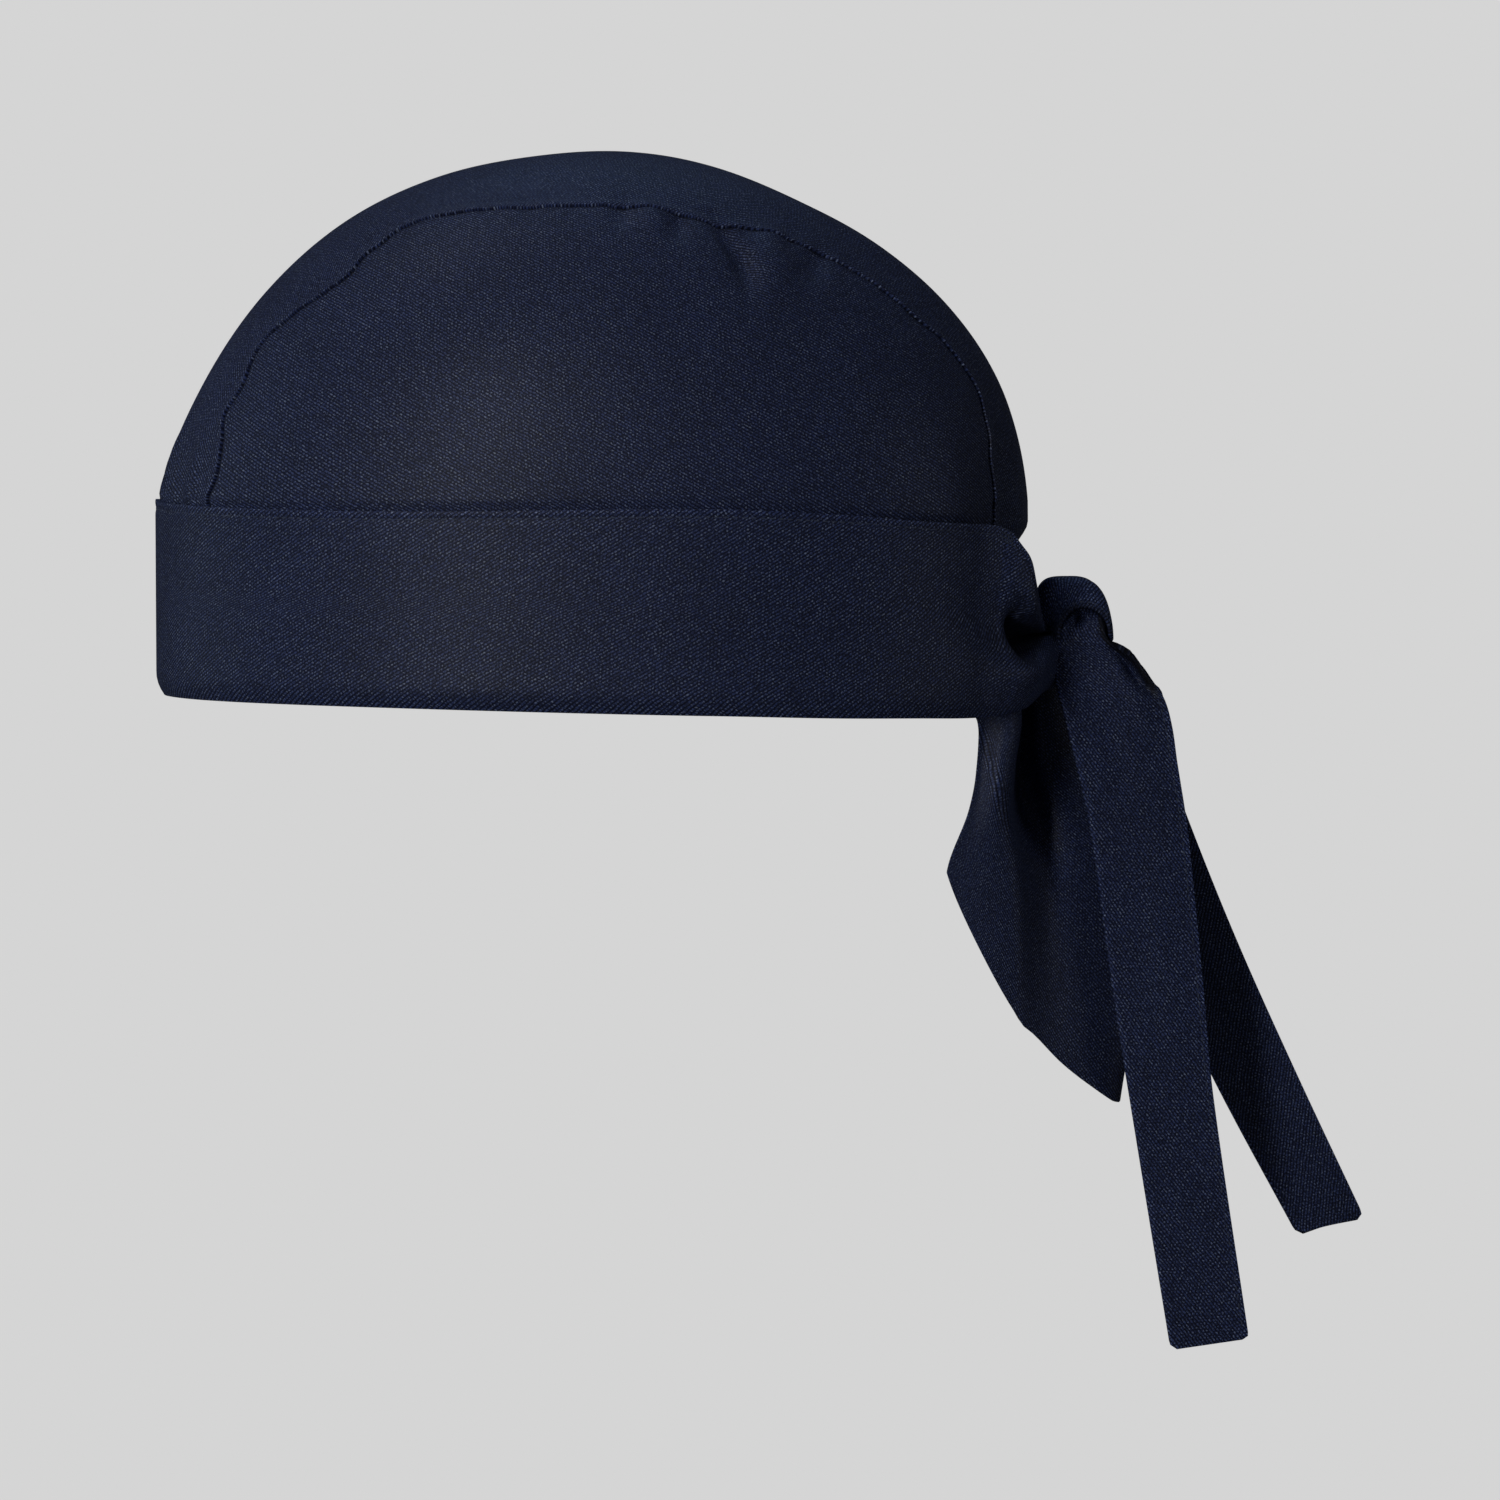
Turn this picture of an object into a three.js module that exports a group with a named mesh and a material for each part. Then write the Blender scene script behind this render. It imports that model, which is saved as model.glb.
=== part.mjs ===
// Chef skull cap: a tied cloth cap with a wide forehead band, a centre panel over the
// crown, a pointed tail that hangs from it behind, two side panels, a knot and two ties.
// Millimetres, +Z up. The wearer looks along -Y, and the wearer's left is +X.
// The origin is the middle of the head opening, in the plane of the band's lower edge.

import * as THREE from 'three';

// ---- Driving dimensions -------------------------------------------------------------

const HEAD_HALF_WIDTH = 79;
const CROWN_CENTRE = new THREE.Vector3(0, 8, 46);
const CROWN_FULLNESS = 2.15;

const PANEL_CLOTH = 1.2;
const BAND_CLOTH = 2.0;
const TIE_CLOTH = 1.8;
const KNOT_CLOTH = 2.0;

// Gaps between pieces: along the panel seams, above the band, whose upper edge the
// panels' feet stand clear of, and at the tail's join, which the band covers.
const SEAM_GAP = 0.6;
const FOOT_GAP = 0.6;
const JOIN_GAP = 0.4;

// Crown outline in the middle plane. turn: degrees from the forehead, over the top, to the
// nape; reach: distance from CROWN_CENTRE to the cloth.
const CROWN_OUTLINE = [
  { turn: 0, reach: 109.5 },
  { turn: 15, reach: 102.4 },
  { turn: 30, reach: 96.9 },
  { turn: 45, reach: 92 },
  { turn: 60, reach: 87 },
  { turn: 75, reach: 82.9 },
  { turn: 90, reach: 81.2 },
  { turn: 105, reach: 80.6 },
  { turn: 120, reach: 81.5 },
  { turn: 135, reach: 84.8 },
  { turn: 150, reach: 89 },
  { turn: 165, reach: 92.5 },
  { turn: 180, reach: 94.2 },
];

// Seam between centre and side panels. spread: degrees out from the middle plane.
const PANEL_SEAM = [
  { turn: 0, spread: 24.3 },
  { turn: 4, spread: 25.2 },
  { turn: 9, spread: 24 },
  { turn: 13, spread: 22.3 },
  { turn: 17.5, spread: 23 },
  { turn: 22.5, spread: 21.8 },
  { turn: 30, spread: 24.3 },
  { turn: 38, spread: 27.8 },
  { turn: 46, spread: 26.6 },
  { turn: 52, spread: 26 },
  { turn: 60, spread: 28.4 },
  { turn: 71, spread: 32.6 },
  { turn: 86, spread: 34.9 },
  { turn: 98, spread: 34.8 },
  { turn: 109, spread: 35 },
  { turn: 120, spread: 31.5 },
  { turn: 133, spread: 28.8 },
  { turn: 147, spread: 25.9 },
  { turn: 156, spread: 22.2 },
  { turn: 164, spread: 20.2 },
  { turn: 173, spread: 21.6 },
  { turn: 183, spread: 21 },
];
const SEAM_START = 0;
const SEAM_FRONT_CORNER = 22.5;
const SEAM_BACK_CORNER = 164;
const SEAM_END = 183;

// The crown's main folds, each as a height in millimetres, where it lies and how far it
// fades to either side. turn is in degrees; share runs from the middle plane (0) to the
// panel seam (1); up runs over a side panel from the band (0) to its seam (1).
const SHOULDERS = { height: 0.5, turn: 140, turnFade: 45, share: 0.55, shareFade: 0.3 };
const HOLLOW = { height: -1.6, turn: 140, turnFade: 45, share: 0, shareFade: 0.5 };
const SEAM_DIP = { height: -1.4, turn: 178, turnFade: 26, share: 1, shareFade: 0.5 };
const BAND_TUCK = { height: -2.2, turn: 182, turnFade: 6, share: 1, shareFade: 0.5 };
const CREASE = { height: -1.3, turn: 113, turnFade: 11, up: 0.74, upFade: 0.26 };
const SEAM_PULL_FADE = 0.3;

// The band: how far it stands proud of the crown, how its lower hem curls in, and where
// its pleat lies. up is the share of the cloth below the ridge, the bulge or the fold.
const BAND_PROUD = 0.7;
const HEM = { curl: 1.8, up: 0.12 };
const RIDGE_UP = 0.45;
const PLEAT_BULGE = { up: 0.37, upFade: 0.3 };
const PLEAT_FOLD = { up: 0.59, upFade: 0.24 };

// Where the band leaves the head, and the way of its middle line from there to the knot.
const BAND_LEAVES_HEAD = 150;
const BAND_POINTS_EVERY = 10;
const BAND_TO_KNOT = [
  { x: 31, y: 95.4 },
  { x: 20.5, y: 101 },
  { x: 12.8, y: 104 },
  { x: 7.8, y: 106.8 },
  { x: 5.6, y: 110.4 },
];

// Band sections. run: distance from the end in the knot; bottom, ridge and top: heights of
// the lower edge, the pleat's ridge and the upper edge; out: how far the ridge stands out;
// dip: how far the fold above it dips in.
const BAND_SECTIONS = [
  { run: 0, bottom: 2.6, ridge: 14.4, top: 15.8, out: 0.4, dip: 0.4 },
  { run: 4, bottom: 1.4, ridge: 14.6, top: 16, out: 0.8, dip: 1 },
  { run: 8, bottom: -0.4, ridge: 14.4, top: 18, out: 1.4, dip: 2 },
  { run: 12, bottom: -1.6, ridge: 13.8, top: 25.4, out: 2.2, dip: 3 },
  { run: 16, bottom: -2.2, ridge: 12.8, top: 31.5, out: 2.8, dip: 3.8 },
  { run: 22, bottom: -2.6, ridge: 12.2, top: 35.6, out: 3, dip: 4 },
  { run: 28, bottom: -2.9, ridge: 12.2, top: 39, out: 2.8, dip: 3.2 },
  { run: 36, bottom: -3, ridge: 13.2, top: 40.7, out: 2, dip: 2 },
  { run: 48, bottom: -2.8, ridge: 16.4, top: 41.4, out: 0.8, dip: 0.7 },
  { run: 64, bottom: -2.2, ridge: 19.6, top: 42.3, out: 0, dip: 0 },
  { run: 85, bottom: -1.6, ridge: 20, top: 44, out: 0, dip: 0 },
  { run: 115, bottom: -0.6, ridge: 20, top: 45.4, out: 0, dip: 0 },
  { run: 200, bottom: 1, ridge: 20, top: 44.8, out: 0, dip: 0 },
  { run: 300, bottom: 0.8, ridge: 20, top: 46.4, out: 0, dip: 0 },
];

// Tail: the height of its join to the centre panel, and its hem, by the heights of the
// corners and the point and how full it is between them. Below the band the tail hangs
// turned: its y falls by a share of x, in full from fullZ down.
const TAIL_JOIN_Z = 13;
const TAIL_HEM = { cornerZ: -39.3, pointZ: -96.6, power: 1.18 };
const TAIL_TURN = { share: 0.066, fullZ: -16 };

// Level sections through half of the centre panel below the nape: y of its middle line,
// then a point a quarter and a half of the way to the edge, and the edge.
const TAIL_SECTIONS = [
  { z: 33, keelY: 98.6, innerX: 9, innerY: 97.8, foldX: 19, foldY: 94.8, edgeX: 33, edgeY: 88.4 },
  { z: 18, keelY: 94.4, innerX: 8, innerY: 93.6, foldX: 20, foldY: 90, edgeX: 35, edgeY: 86 },
  { z: 8, keelY: 98, innerX: 4.2, innerY: 95.6, foldX: 19, foldY: 90.6, edgeX: 36, edgeY: 86 },
  { z: 2, keelY: 104, innerX: 3, innerY: 98.6, foldX: 17, foldY: 92.4, edgeX: 34.6, edgeY: 87.6 },
  { z: -2, keelY: 108, innerX: 3.2, innerY: 100.6, foldX: 17, foldY: 94, edgeX: 34.4, edgeY: 89.2 },
  { z: -7, keelY: 111.4, innerX: 3.8, innerY: 103, foldX: 22, foldY: 98.6, edgeX: 36, edgeY: 90.8 },
  { z: -15, keelY: 115, innerX: 4.4, innerY: 104.6, foldX: 25, foldY: 100.2, edgeX: 38, edgeY: 91.6 },
  { z: -25, keelY: 119.6, innerX: 4.6, innerY: 107.4, foldX: 23.5, foldY: 101.4, edgeX: 38.5, edgeY: 89.8 },
  { z: -40, keelY: 125.3, innerX: 5, innerY: 111.2, foldX: 17.5, foldY: 101.4, edgeX: 38, edgeY: 84.6 },
  { z: -70, keelY: 127.8, innerX: 5, innerY: 112.2, foldX: 15.5, foldY: 101.8, edgeX: 38, edgeY: 84.6 },
  { z: -96, keelY: 124.4, innerX: 5, innerY: 110.6, foldX: 13.5, foldY: 101, edgeX: 38, edgeY: 84.6 },
];

// Ties, from inside the knot to the free end: y of the front and back edges, how far the
// outer face lies to the side, and how far the back edge lies above the front one.
const TIE_LEFT = [
  { z: 17.4, frontY: 111, backY: 117.2, side: 8.4, rise: 0 },
  { z: 13.6, frontY: 109.8, backY: 117.6, side: 9.8, rise: 0 },
  { z: 12.2, frontY: 109, backY: 119.6, side: 10.6, rise: 0 },
  { z: 8.5, frontY: 107.9, backY: 127.4, side: 11.2, rise: 0 },
  { z: 4.2, frontY: 108.4, backY: 131.4, side: 11.4, rise: 0 },
  { z: -0.5, frontY: 109.5, backY: 133.5, side: 11.6, rise: 0 },
  { z: -14.5, frontY: 113, backY: 136.3, side: 11.6, rise: 0 },
  { z: -31, frontY: 116.7, backY: 139.4, side: 11.2, rise: 0 },
  { z: -70.6, frontY: 122.3, backY: 143.5, side: 10.4, rise: 0 },
  { z: -94, frontY: 126.2, backY: 145.7, side: 10.6, rise: 0.8 },
  { z: -151.6, frontY: 135.8, backY: 154.2, side: 12.4, rise: 1.9 },
];
const TIE_RIGHT = [
  { z: 17.4, frontY: 111, backY: 117.2, side: 8.4, rise: 0 },
  { z: 13.6, frontY: 109.8, backY: 117.8, side: 9.8, rise: 0 },
  { z: 12, frontY: 109, backY: 119.4, side: 10.6, rise: 0 },
  { z: 6, frontY: 109, backY: 125, side: 11.2, rise: 0 },
  { z: -4, frontY: 111, backY: 130.4, side: 11.4, rise: 0 },
  { z: -16, frontY: 114.6, backY: 136, side: 12.2, rise: 0 },
  { z: -29, frontY: 119.4, backY: 140.4, side: 13.2, rise: 0 },
  { z: -60, frontY: 132.2, backY: 152.8, side: 16, rise: 1 },
  { z: -92.6, frontY: 148.2, backY: 167.4, side: 20, rise: 2 },
  { z: -128.4, frontY: 168, backY: 184, side: 24, rise: 3.6 },
];

// Knot: the strand wrapped over the ties is an arch, tallest in the middle, smaller at its
// two hems. across: share of the way from the middle to a hem.
const KNOT_HALF_WIDTH = 13;
const KNOT_ARCHES = [
  { across: 0, centreY: 113.2, halfSpan: 7.9, frontZ: 18.8, backZ: 13, crownZ: 28.4 },
  { across: 0.6, centreY: 113.5, halfSpan: 7.7, frontZ: 18.7, backZ: 13, crownZ: 26.6 },
  { across: 1, centreY: 114.9, halfSpan: 6.8, frontZ: 13.4, backZ: 13, crownZ: 20.4 },
];
const KNOT_SQUARENESS = 0.7;

// Facets along and across each piece.
const SEAM_STEPS_UP = 7;
const SEAM_STEPS_OVER = 26;
const PANEL_STEPS_ACROSS = 14;
const NAPE_STEPS = 5;
const TAIL_STEPS = 14;
const BAND_STEPS_ROUND = 25;
const BAND_STEPS_GATHERED = 12;
const BAND_STEPS_UP = 9;
const TIE_STEPS = 22;
const TIE_STEPS_CROWDING = 1.7;
const TIE_STEPS_ACROSS = 3;
const KNOT_STEPS_OVER = 14;
const KNOT_STEPS_ACROSS = 8;

// ---- Helpers --------------------------------------------------------------------------

const { degToRad, radToDeg, lerp, clamp, smoothstep } = THREE.MathUtils;

// A smooth bump: 1 at the middle, 0 a width or more to either side.
function bump(at, middle, width) {
  const off = Math.min(Math.abs(at - middle) / width, 1);
  return (1 - off * off) ** 2;
}

// Reads a column of a table at any place between its rows, along a smooth cubic.
function read(rows, key, column, at) {
  const last = rows.length - 1;
  const way = Math.sign(rows[last][key] - rows[0][key]);
  const place = way * clamp(way * at, way * rows[0][key], way * rows[last][key]);
  let i = 0;
  while (i < last - 1 && way * place > way * rows[i + 1][key]) i += 1;
  const slope = (j) => {
    const before = rows[Math.max(j - 1, 0)];
    const after = rows[Math.min(j + 1, last)];
    return (after[column] - before[column]) / (after[key] - before[key]);
  };
  const span = rows[i + 1][key] - rows[i][key];
  const t = (place - rows[i][key]) / span;
  const leaving = t * (1 - t) * (1 - t) * span * slope(i);
  const arriving = t * t * (t - 1) * span * slope(i + 1);
  return lerp(rows[i][column], rows[i + 1][column], t * t * (3 - 2 * t)) + leaving + arriving;
}

// A closed wall of cloth. Its outer face is surface(u, v), seen from outside with u to the
// right and v up, and its inner face lies one cloth thickness behind.
function clothWall(surface, stepsU, stepsV, thickness) {
  const at = (i, j) => j * (stepsU + 1) + i;
  const outer = [];
  for (let j = 0; j <= stepsV; j += 1) {
    for (let i = 0; i <= stepsU; i += 1) outer.push(surface(i / stepsU, j / stepsV));
  }
  const back = outer.length;
  const faces = [];
  const quad = (a, b, c, d) => faces.push(a, b, c, a, c, d);
  const gridQuads = (place) => {
    for (let j = 0; j < stepsV; j += 1) {
      for (let i = 0; i < stepsU; i += 1) place(at(i, j), at(i + 1, j), at(i + 1, j + 1), at(i, j + 1));
    }
  };
  gridQuads((a, b, c, d) => quad(a, b, c, d));
  const face = new THREE.BufferGeometry().setFromPoints(outer).setIndex([...faces]);
  face.computeVertexNormals();
  const normal = new THREE.Vector3();
  const inner = outer.map((point, n) => {
    normal.fromBufferAttribute(face.getAttribute('normal'), n);
    return point.clone().addScaledVector(normal, -thickness);
  });
  gridQuads((a, b, c, d) => quad(back + d, back + c, back + b, back + a));
  const rim = [];
  for (let i = 0; i < stepsU; i += 1) rim.push(at(i, 0));
  for (let j = 0; j < stepsV; j += 1) rim.push(at(stepsU, j));
  for (let i = stepsU; i > 0; i -= 1) rim.push(at(i, stepsV));
  for (let j = stepsV; j > 0; j -= 1) rim.push(at(0, j));
  rim.forEach((here, n) => {
    const next = rim[(n + 1) % rim.length];
    quad(next, here, back + here, back + next);
  });
  const wall = new THREE.BufferGeometry().setFromPoints([...outer, ...inner]).setIndex(faces);
  wall.computeVertexNormals();
  return wall;
}

// ---- The crown surface ----------------------------------------------------------------

// Direction from the crown's centre: turn over the head, spread to the wearer's left.
function crownDirection(turn, spread) {
  const a = degToRad(turn);
  const b = degToRad(spread);
  return new THREE.Vector3(Math.sin(b), -Math.cos(b) * Math.cos(a), Math.cos(b) * Math.sin(a));
}

// Turn of a direction, from 0 at the forehead to 180 and a little more at the nape.
function turnOf(direction) {
  const turn = radToDeg(Math.atan2(direction.z, -direction.y));
  return turn < -90 ? turn + 360 : turn;
}

// The crown is a rounded shell over its middle outline, and upright below its centre.
function crownPoint(direction, lift) {
  const d = direction.clone().normalize();
  const along = Math.hypot(d.y, Math.max(d.z, 0));
  const alongShare = along / read(CROWN_OUTLINE, 'turn', 'reach', turnOf(d));
  const acrossShare = Math.abs(d.x) / HEAD_HALF_WIDTH;
  const sum = alongShare ** CROWN_FULLNESS + acrossShare ** CROWN_FULLNESS;
  return d.multiplyScalar(sum ** (-1 / CROWN_FULLNESS) + lift).add(CROWN_CENTRE);
}

// Point of the head's plan outline. angle: degrees round from the forehead.
function planPoint(angle) {
  const a = degToRad(angle);
  return crownPoint(new THREE.Vector3(Math.sin(a), -Math.cos(a), 0), 0);
}

// Height of the crown's folds at a turn and a share of the way from the middle to the seam.
function crownRelief(turn, share) {
  const fold = (f) => f.height * bump(turn, f.turn, f.turnFade) * bump(share, f.share, f.shareFade);
  return fold(SHOULDERS) + fold(HOLLOW) + Math.min(fold(SEAM_DIP), fold(BAND_TUCK));
}

// ---- Forehead band --------------------------------------------------------------------

// The band's middle line in plan, with the distance run along it from the knot.
function bandLine() {
  const points = [...BAND_TO_KNOT].reverse();
  for (let angle = BAND_LEAVES_HEAD; angle >= 0; angle -= BAND_POINTS_EVERY) {
    points.push(planPoint(angle));
  }
  let run = 0;
  return points.map(({ x, y }, n) => {
    if (n > 0) run += Math.hypot(x - points[n - 1].x, y - points[n - 1].y);
    return { run, x, y };
  });
}

const BAND_LINE = bandLine();
const BAND_HALF_LENGTH = BAND_LINE[BAND_LINE.length - 1].run;
const BAND_GATHER_LENGTH = BAND_LINE[BAND_TO_KNOT.length].run;

function bandPlace(run) {
  return new THREE.Vector3(read(BAND_LINE, 'run', 'x', run), read(BAND_LINE, 'run', 'y', run), 0);
}

// Point of the band's outer face on the wearer's left. up: 0 lower edge to 1 upper edge.
function bandPoint(run, up) {
  const ahead = bandPlace(run + 1);
  const outward = ahead.sub(bandPlace(run - 1)).normalize();
  outward.set(-outward.y, outward.x, 0);
  if (run >= BAND_HALF_LENGTH) outward.set(0, -1, 0);
  const section = (column) => read(BAND_SECTIONS, 'run', column, run);
  const z = up < RIDGE_UP
    ? lerp(section('bottom'), section('ridge'), up / RIDGE_UP)
    : lerp(section('ridge'), section('top'), (up - RIDGE_UP) / (1 - RIDGE_UP));
  const curl = HEM.curl * Math.max(0, 1 - up / HEM.up) ** 2;
  const pleat = section('out') * bump(up, PLEAT_BULGE.up, PLEAT_BULGE.upFade)
    - section('dip') * bump(up, PLEAT_FOLD.up, PLEAT_FOLD.upFade);
  const point = bandPlace(run).addScaledVector(outward, BAND_PROUD + pleat - curl);
  point.z = z;
  return point;
}

function foreheadBand() {
  const stepsEachSide = BAND_STEPS_ROUND + BAND_STEPS_GATHERED;
  const surface = (u, v) => {
    const step = Math.abs(2 * u - 1) * stepsEachSide;
    const run = step < BAND_STEPS_ROUND
      ? lerp(BAND_HALF_LENGTH, BAND_GATHER_LENGTH, step / BAND_STEPS_ROUND)
      : lerp(BAND_GATHER_LENGTH, 0, (step - BAND_STEPS_ROUND) / BAND_STEPS_GATHERED);
    const point = bandPoint(run, v);
    point.x *= Math.sign(2 * u - 1);
    return point;
  };
  return clothWall(surface, 2 * stepsEachSide, BAND_STEPS_UP, BAND_CLOTH);
}

// ---- Panels ---------------------------------------------------------------------------

const CROWN_STEPS = 2 * SEAM_STEPS_UP + SEAM_STEPS_OVER;
const HALF_GAP_SPREAD = radToDeg(SEAM_GAP / 2 / HEAD_HALF_WIDTH);

function seamSpread(turn) {
  return read(PANEL_SEAM, 'turn', 'spread', turn);
}

// Turn at the panel seam's n-th station: up the forehead, over the crown, down the back.
function seamTurn(station) {
  const over = station - SEAM_STEPS_UP;
  const down = over - SEAM_STEPS_OVER;
  if (over <= 0) return lerp(SEAM_START, SEAM_FRONT_CORNER, station / SEAM_STEPS_UP);
  if (down <= 0) return lerp(SEAM_FRONT_CORNER, SEAM_BACK_CORNER, over / SEAM_STEPS_OVER);
  return lerp(SEAM_BACK_CORNER, SEAM_END, down / SEAM_STEPS_UP);
}

// Direction from the crown's centre to the cloth that stands on the band's upper edge.
function footDirection(angle) {
  const foot = planPoint(angle);
  let nearest = 0;
  for (let run = 0; run <= BAND_HALF_LENGTH; run += 1) {
    const closer = bandPlace(run).setZ(foot.z).distanceTo(foot);
    if (closer < bandPlace(nearest).setZ(foot.z).distanceTo(foot)) nearest = run;
  }
  foot.z = read(BAND_SECTIONS, 'run', 'top', nearest) + FOOT_GAP;
  return foot.sub(CROWN_CENTRE).normalize();
}

// Spread of the centre panel's cloth. share: from the middle plane (0) to its edge (1).
function panelSpread(turn, share) {
  return share * (seamSpread(turn) - HALF_GAP_SPREAD);
}

// Point of the cloth that leaves the head at the nape and hangs down. across: from the
// wearer's right edge (-1) to the left one (1); down: from startZ, or the nape where that
// is lower (0), to endZ (1).
function hangingPoint(across, startZ, endZ, down) {
  const share = Math.abs(across);
  const nape = crownPoint(
    crownDirection(SEAM_END, panelSpread(SEAM_END, share)),
    crownRelief(SEAM_END, share),
  );
  const z = lerp(Math.min(startZ, nape.z), endZ, down);
  const section = (column) => read(TAIL_SECTIONS, 'z', column, z);
  const halfSection = [
    { share: -0.25, x: -section('innerX'), y: section('innerY') },
    { share: 0, x: 0, y: section('keelY') },
    { share: 0.25, x: section('innerX'), y: section('innerY') },
    { share: 0.5, x: section('foldX'), y: section('foldY') },
    { share: 1, x: section('edgeX'), y: section('edgeY') },
  ];
  const settled = smoothstep(nape.z - z, 0, nape.z - TAIL_SECTIONS[0].z);
  const x = lerp(nape.x, read(halfSection, 'share', 'x', share), settled);
  const y = lerp(nape.y, read(halfSection, 'share', 'y', share), settled);
  const turned = TAIL_TURN.share * smoothstep(-z, 0, -TAIL_TURN.fullZ);
  return new THREE.Vector3(Math.sign(across) * x, y - Math.sign(across) * turned * x, z);
}

// One strip of cloth from the band at the forehead, over the crown, to the tail's join.
function centrePanel() {
  const steps = CROWN_STEPS + NAPE_STEPS;
  const surface = (u, v) => {
    const across = 1 - 2 * u;
    const share = Math.abs(across);
    const station = Math.round((1 - v) * steps);
    if (station > CROWN_STEPS) {
      const down = (station - CROWN_STEPS) / NAPE_STEPS;
      return hangingPoint(across, Infinity, TAIL_JOIN_Z, down);
    }
    const turn = seamTurn(station);
    const spread = panelSpread(turn, share);
    const direction = station === 0 ? footDirection(spread) : crownDirection(turn, spread);
    const point = crownPoint(direction, crownRelief(turn, share));
    point.x *= Math.sign(across);
    return point;
  };
  return clothWall(surface, PANEL_STEPS_ACROSS, steps, PANEL_CLOTH);
}

// The folded tail, from its join to its pointed hem.
function tailFlap() {
  const surface = (u, v) => {
    const across = 1 - 2 * u;
    const fullness = Math.abs(across) ** TAIL_HEM.power;
    const hemZ = lerp(TAIL_HEM.pointZ, TAIL_HEM.cornerZ, fullness);
    return hangingPoint(across, TAIL_JOIN_Z - JOIN_GAP, hemZ, 1 - v);
  };
  return clothWall(surface, PANEL_STEPS_ACROSS, TAIL_STEPS, PANEL_CLOTH);
}

// Direction to the side panel's edge at the seam's n-th station.
function sideEdgeDirection(station) {
  const turn = seamTurn(station);
  const spread = seamSpread(turn) + HALF_GAP_SPREAD;
  if (station === 0) return footDirection(spread);
  if (station === CROWN_STEPS) return footDirection(180 - spread);
  return crownDirection(turn, spread);
}

// A side panel, stretched between the band's upper edge and the seam's three stretches.
function sidePanel(side) {
  const frontAngle = seamSpread(SEAM_START) + HALF_GAP_SPREAD;
  const backAngle = 180 - seamSpread(SEAM_END) - HALF_GAP_SPREAD;
  const surface = (u, v) => {
    const along = side > 0 ? u : 1 - u;
    const stepAlong = Math.round(along * SEAM_STEPS_OVER);
    const stepUp = Math.round(v * SEAM_STEPS_UP);
    const direction = footDirection(lerp(frontAngle, backAngle, along)).multiplyScalar(1 - v);
    const add = (station, weight) => {
      direction.addScaledVector(sideEdgeDirection(station), weight);
    };
    add(SEAM_STEPS_UP + stepAlong, v);
    add(stepUp, 1 - along);
    add(CROWN_STEPS - stepUp, along);
    add(0, -(1 - along) * (1 - v));
    add(SEAM_STEPS_UP, -(1 - along) * v);
    add(SEAM_STEPS_UP + SEAM_STEPS_OVER, -along * v);
    add(CROWN_STEPS, -along * (1 - v));
    const turn = turnOf(direction);
    const crease = CREASE.height * bump(turn, CREASE.turn, CREASE.turnFade)
      * bump(v, CREASE.up, CREASE.upFade);
    const seamPull = crownRelief(turn, 1) * bump(Math.max(v, along), 1, SEAM_PULL_FADE);
    const point = crownPoint(direction, seamPull + crease);
    point.x *= side;
    return point;
  };
  return clothWall(surface, SEAM_STEPS_OVER, SEAM_STEPS_UP, PANEL_CLOTH);
}

// ---- Knot and ties ----------------------------------------------------------------------

// A tie is a flat strip that hangs from the knot with its face to the side.
function tie(rows, side) {
  const top = rows[0].z;
  const end = rows[rows.length - 1].z;
  const surface = (u, v) => {
    const back = side > 0 ? u : 1 - u;
    const z = lerp(top, end, (1 - v) ** TIE_STEPS_CROWDING);
    const y = lerp(read(rows, 'z', 'frontY', z), read(rows, 'z', 'backY', z), back);
    const rise = (back - 0.5) * read(rows, 'z', 'rise', z);
    return new THREE.Vector3(side * read(rows, 'z', 'side', z), y, z + rise);
  };
  return clothWall(surface, TIE_STEPS_ACROSS, TIE_STEPS, TIE_CLOTH);
}

// The knot is one wrapped strand: an arch over the ties, rounded off towards both hems.
function tieKnot() {
  const surface = (u, v) => {
    const across = 1 - 2 * v;
    const arch = (column) => read(KNOT_ARCHES, 'across', column, Math.abs(across));
    const angle = Math.PI * u;
    const level = Math.sin(angle) ** KNOT_SQUARENESS;
    const reach = Math.sign(Math.cos(angle)) * Math.abs(Math.cos(angle)) ** KNOT_SQUARENESS;
    const footZ = u < 0.5 ? arch('frontZ') : arch('backZ');
    const y = arch('centreY') - arch('halfSpan') * reach;
    return new THREE.Vector3(KNOT_HALF_WIDTH * across, y, lerp(footZ, arch('crownZ'), level));
  };
  return clothWall(surface, KNOT_STEPS_OVER, KNOT_STEPS_ACROSS, KNOT_CLOTH);
}

// ---- Build ------------------------------------------------------------------------------

const CLOTH_COLOUR = 0x1f2740;
const KNOT_COLOUR = 0x1b2238;

const skullCap = new THREE.Group();

function addPiece(name, geometry, colour) {
  const material = new THREE.MeshStandardMaterial({ color: colour, roughness: 0.85, metalness: 0 });
  const mesh = new THREE.Mesh(geometry, material);
  mesh.name = name;
  skullCap.add(mesh);
}

addPiece('forehead_band', foreheadBand(), CLOTH_COLOUR);
addPiece('centre_panel', centrePanel(), CLOTH_COLOUR);
addPiece('tail_flap', tailFlap(), CLOTH_COLOUR);
addPiece('side_panel_left', sidePanel(1), CLOTH_COLOUR);
addPiece('side_panel_right', sidePanel(-1), CLOTH_COLOUR);
addPiece('tie_knot', tieKnot(), KNOT_COLOUR);
addPiece('tie_left', tie(TIE_LEFT, 1), CLOTH_COLOUR);
addPiece('tie_right', tie(TIE_RIGHT, -1), CLOTH_COLOUR);

export default skullCap;
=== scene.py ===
"""Looks of a tied chef skull cap in navy twill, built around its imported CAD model."""

import math
from functools import partial

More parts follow.
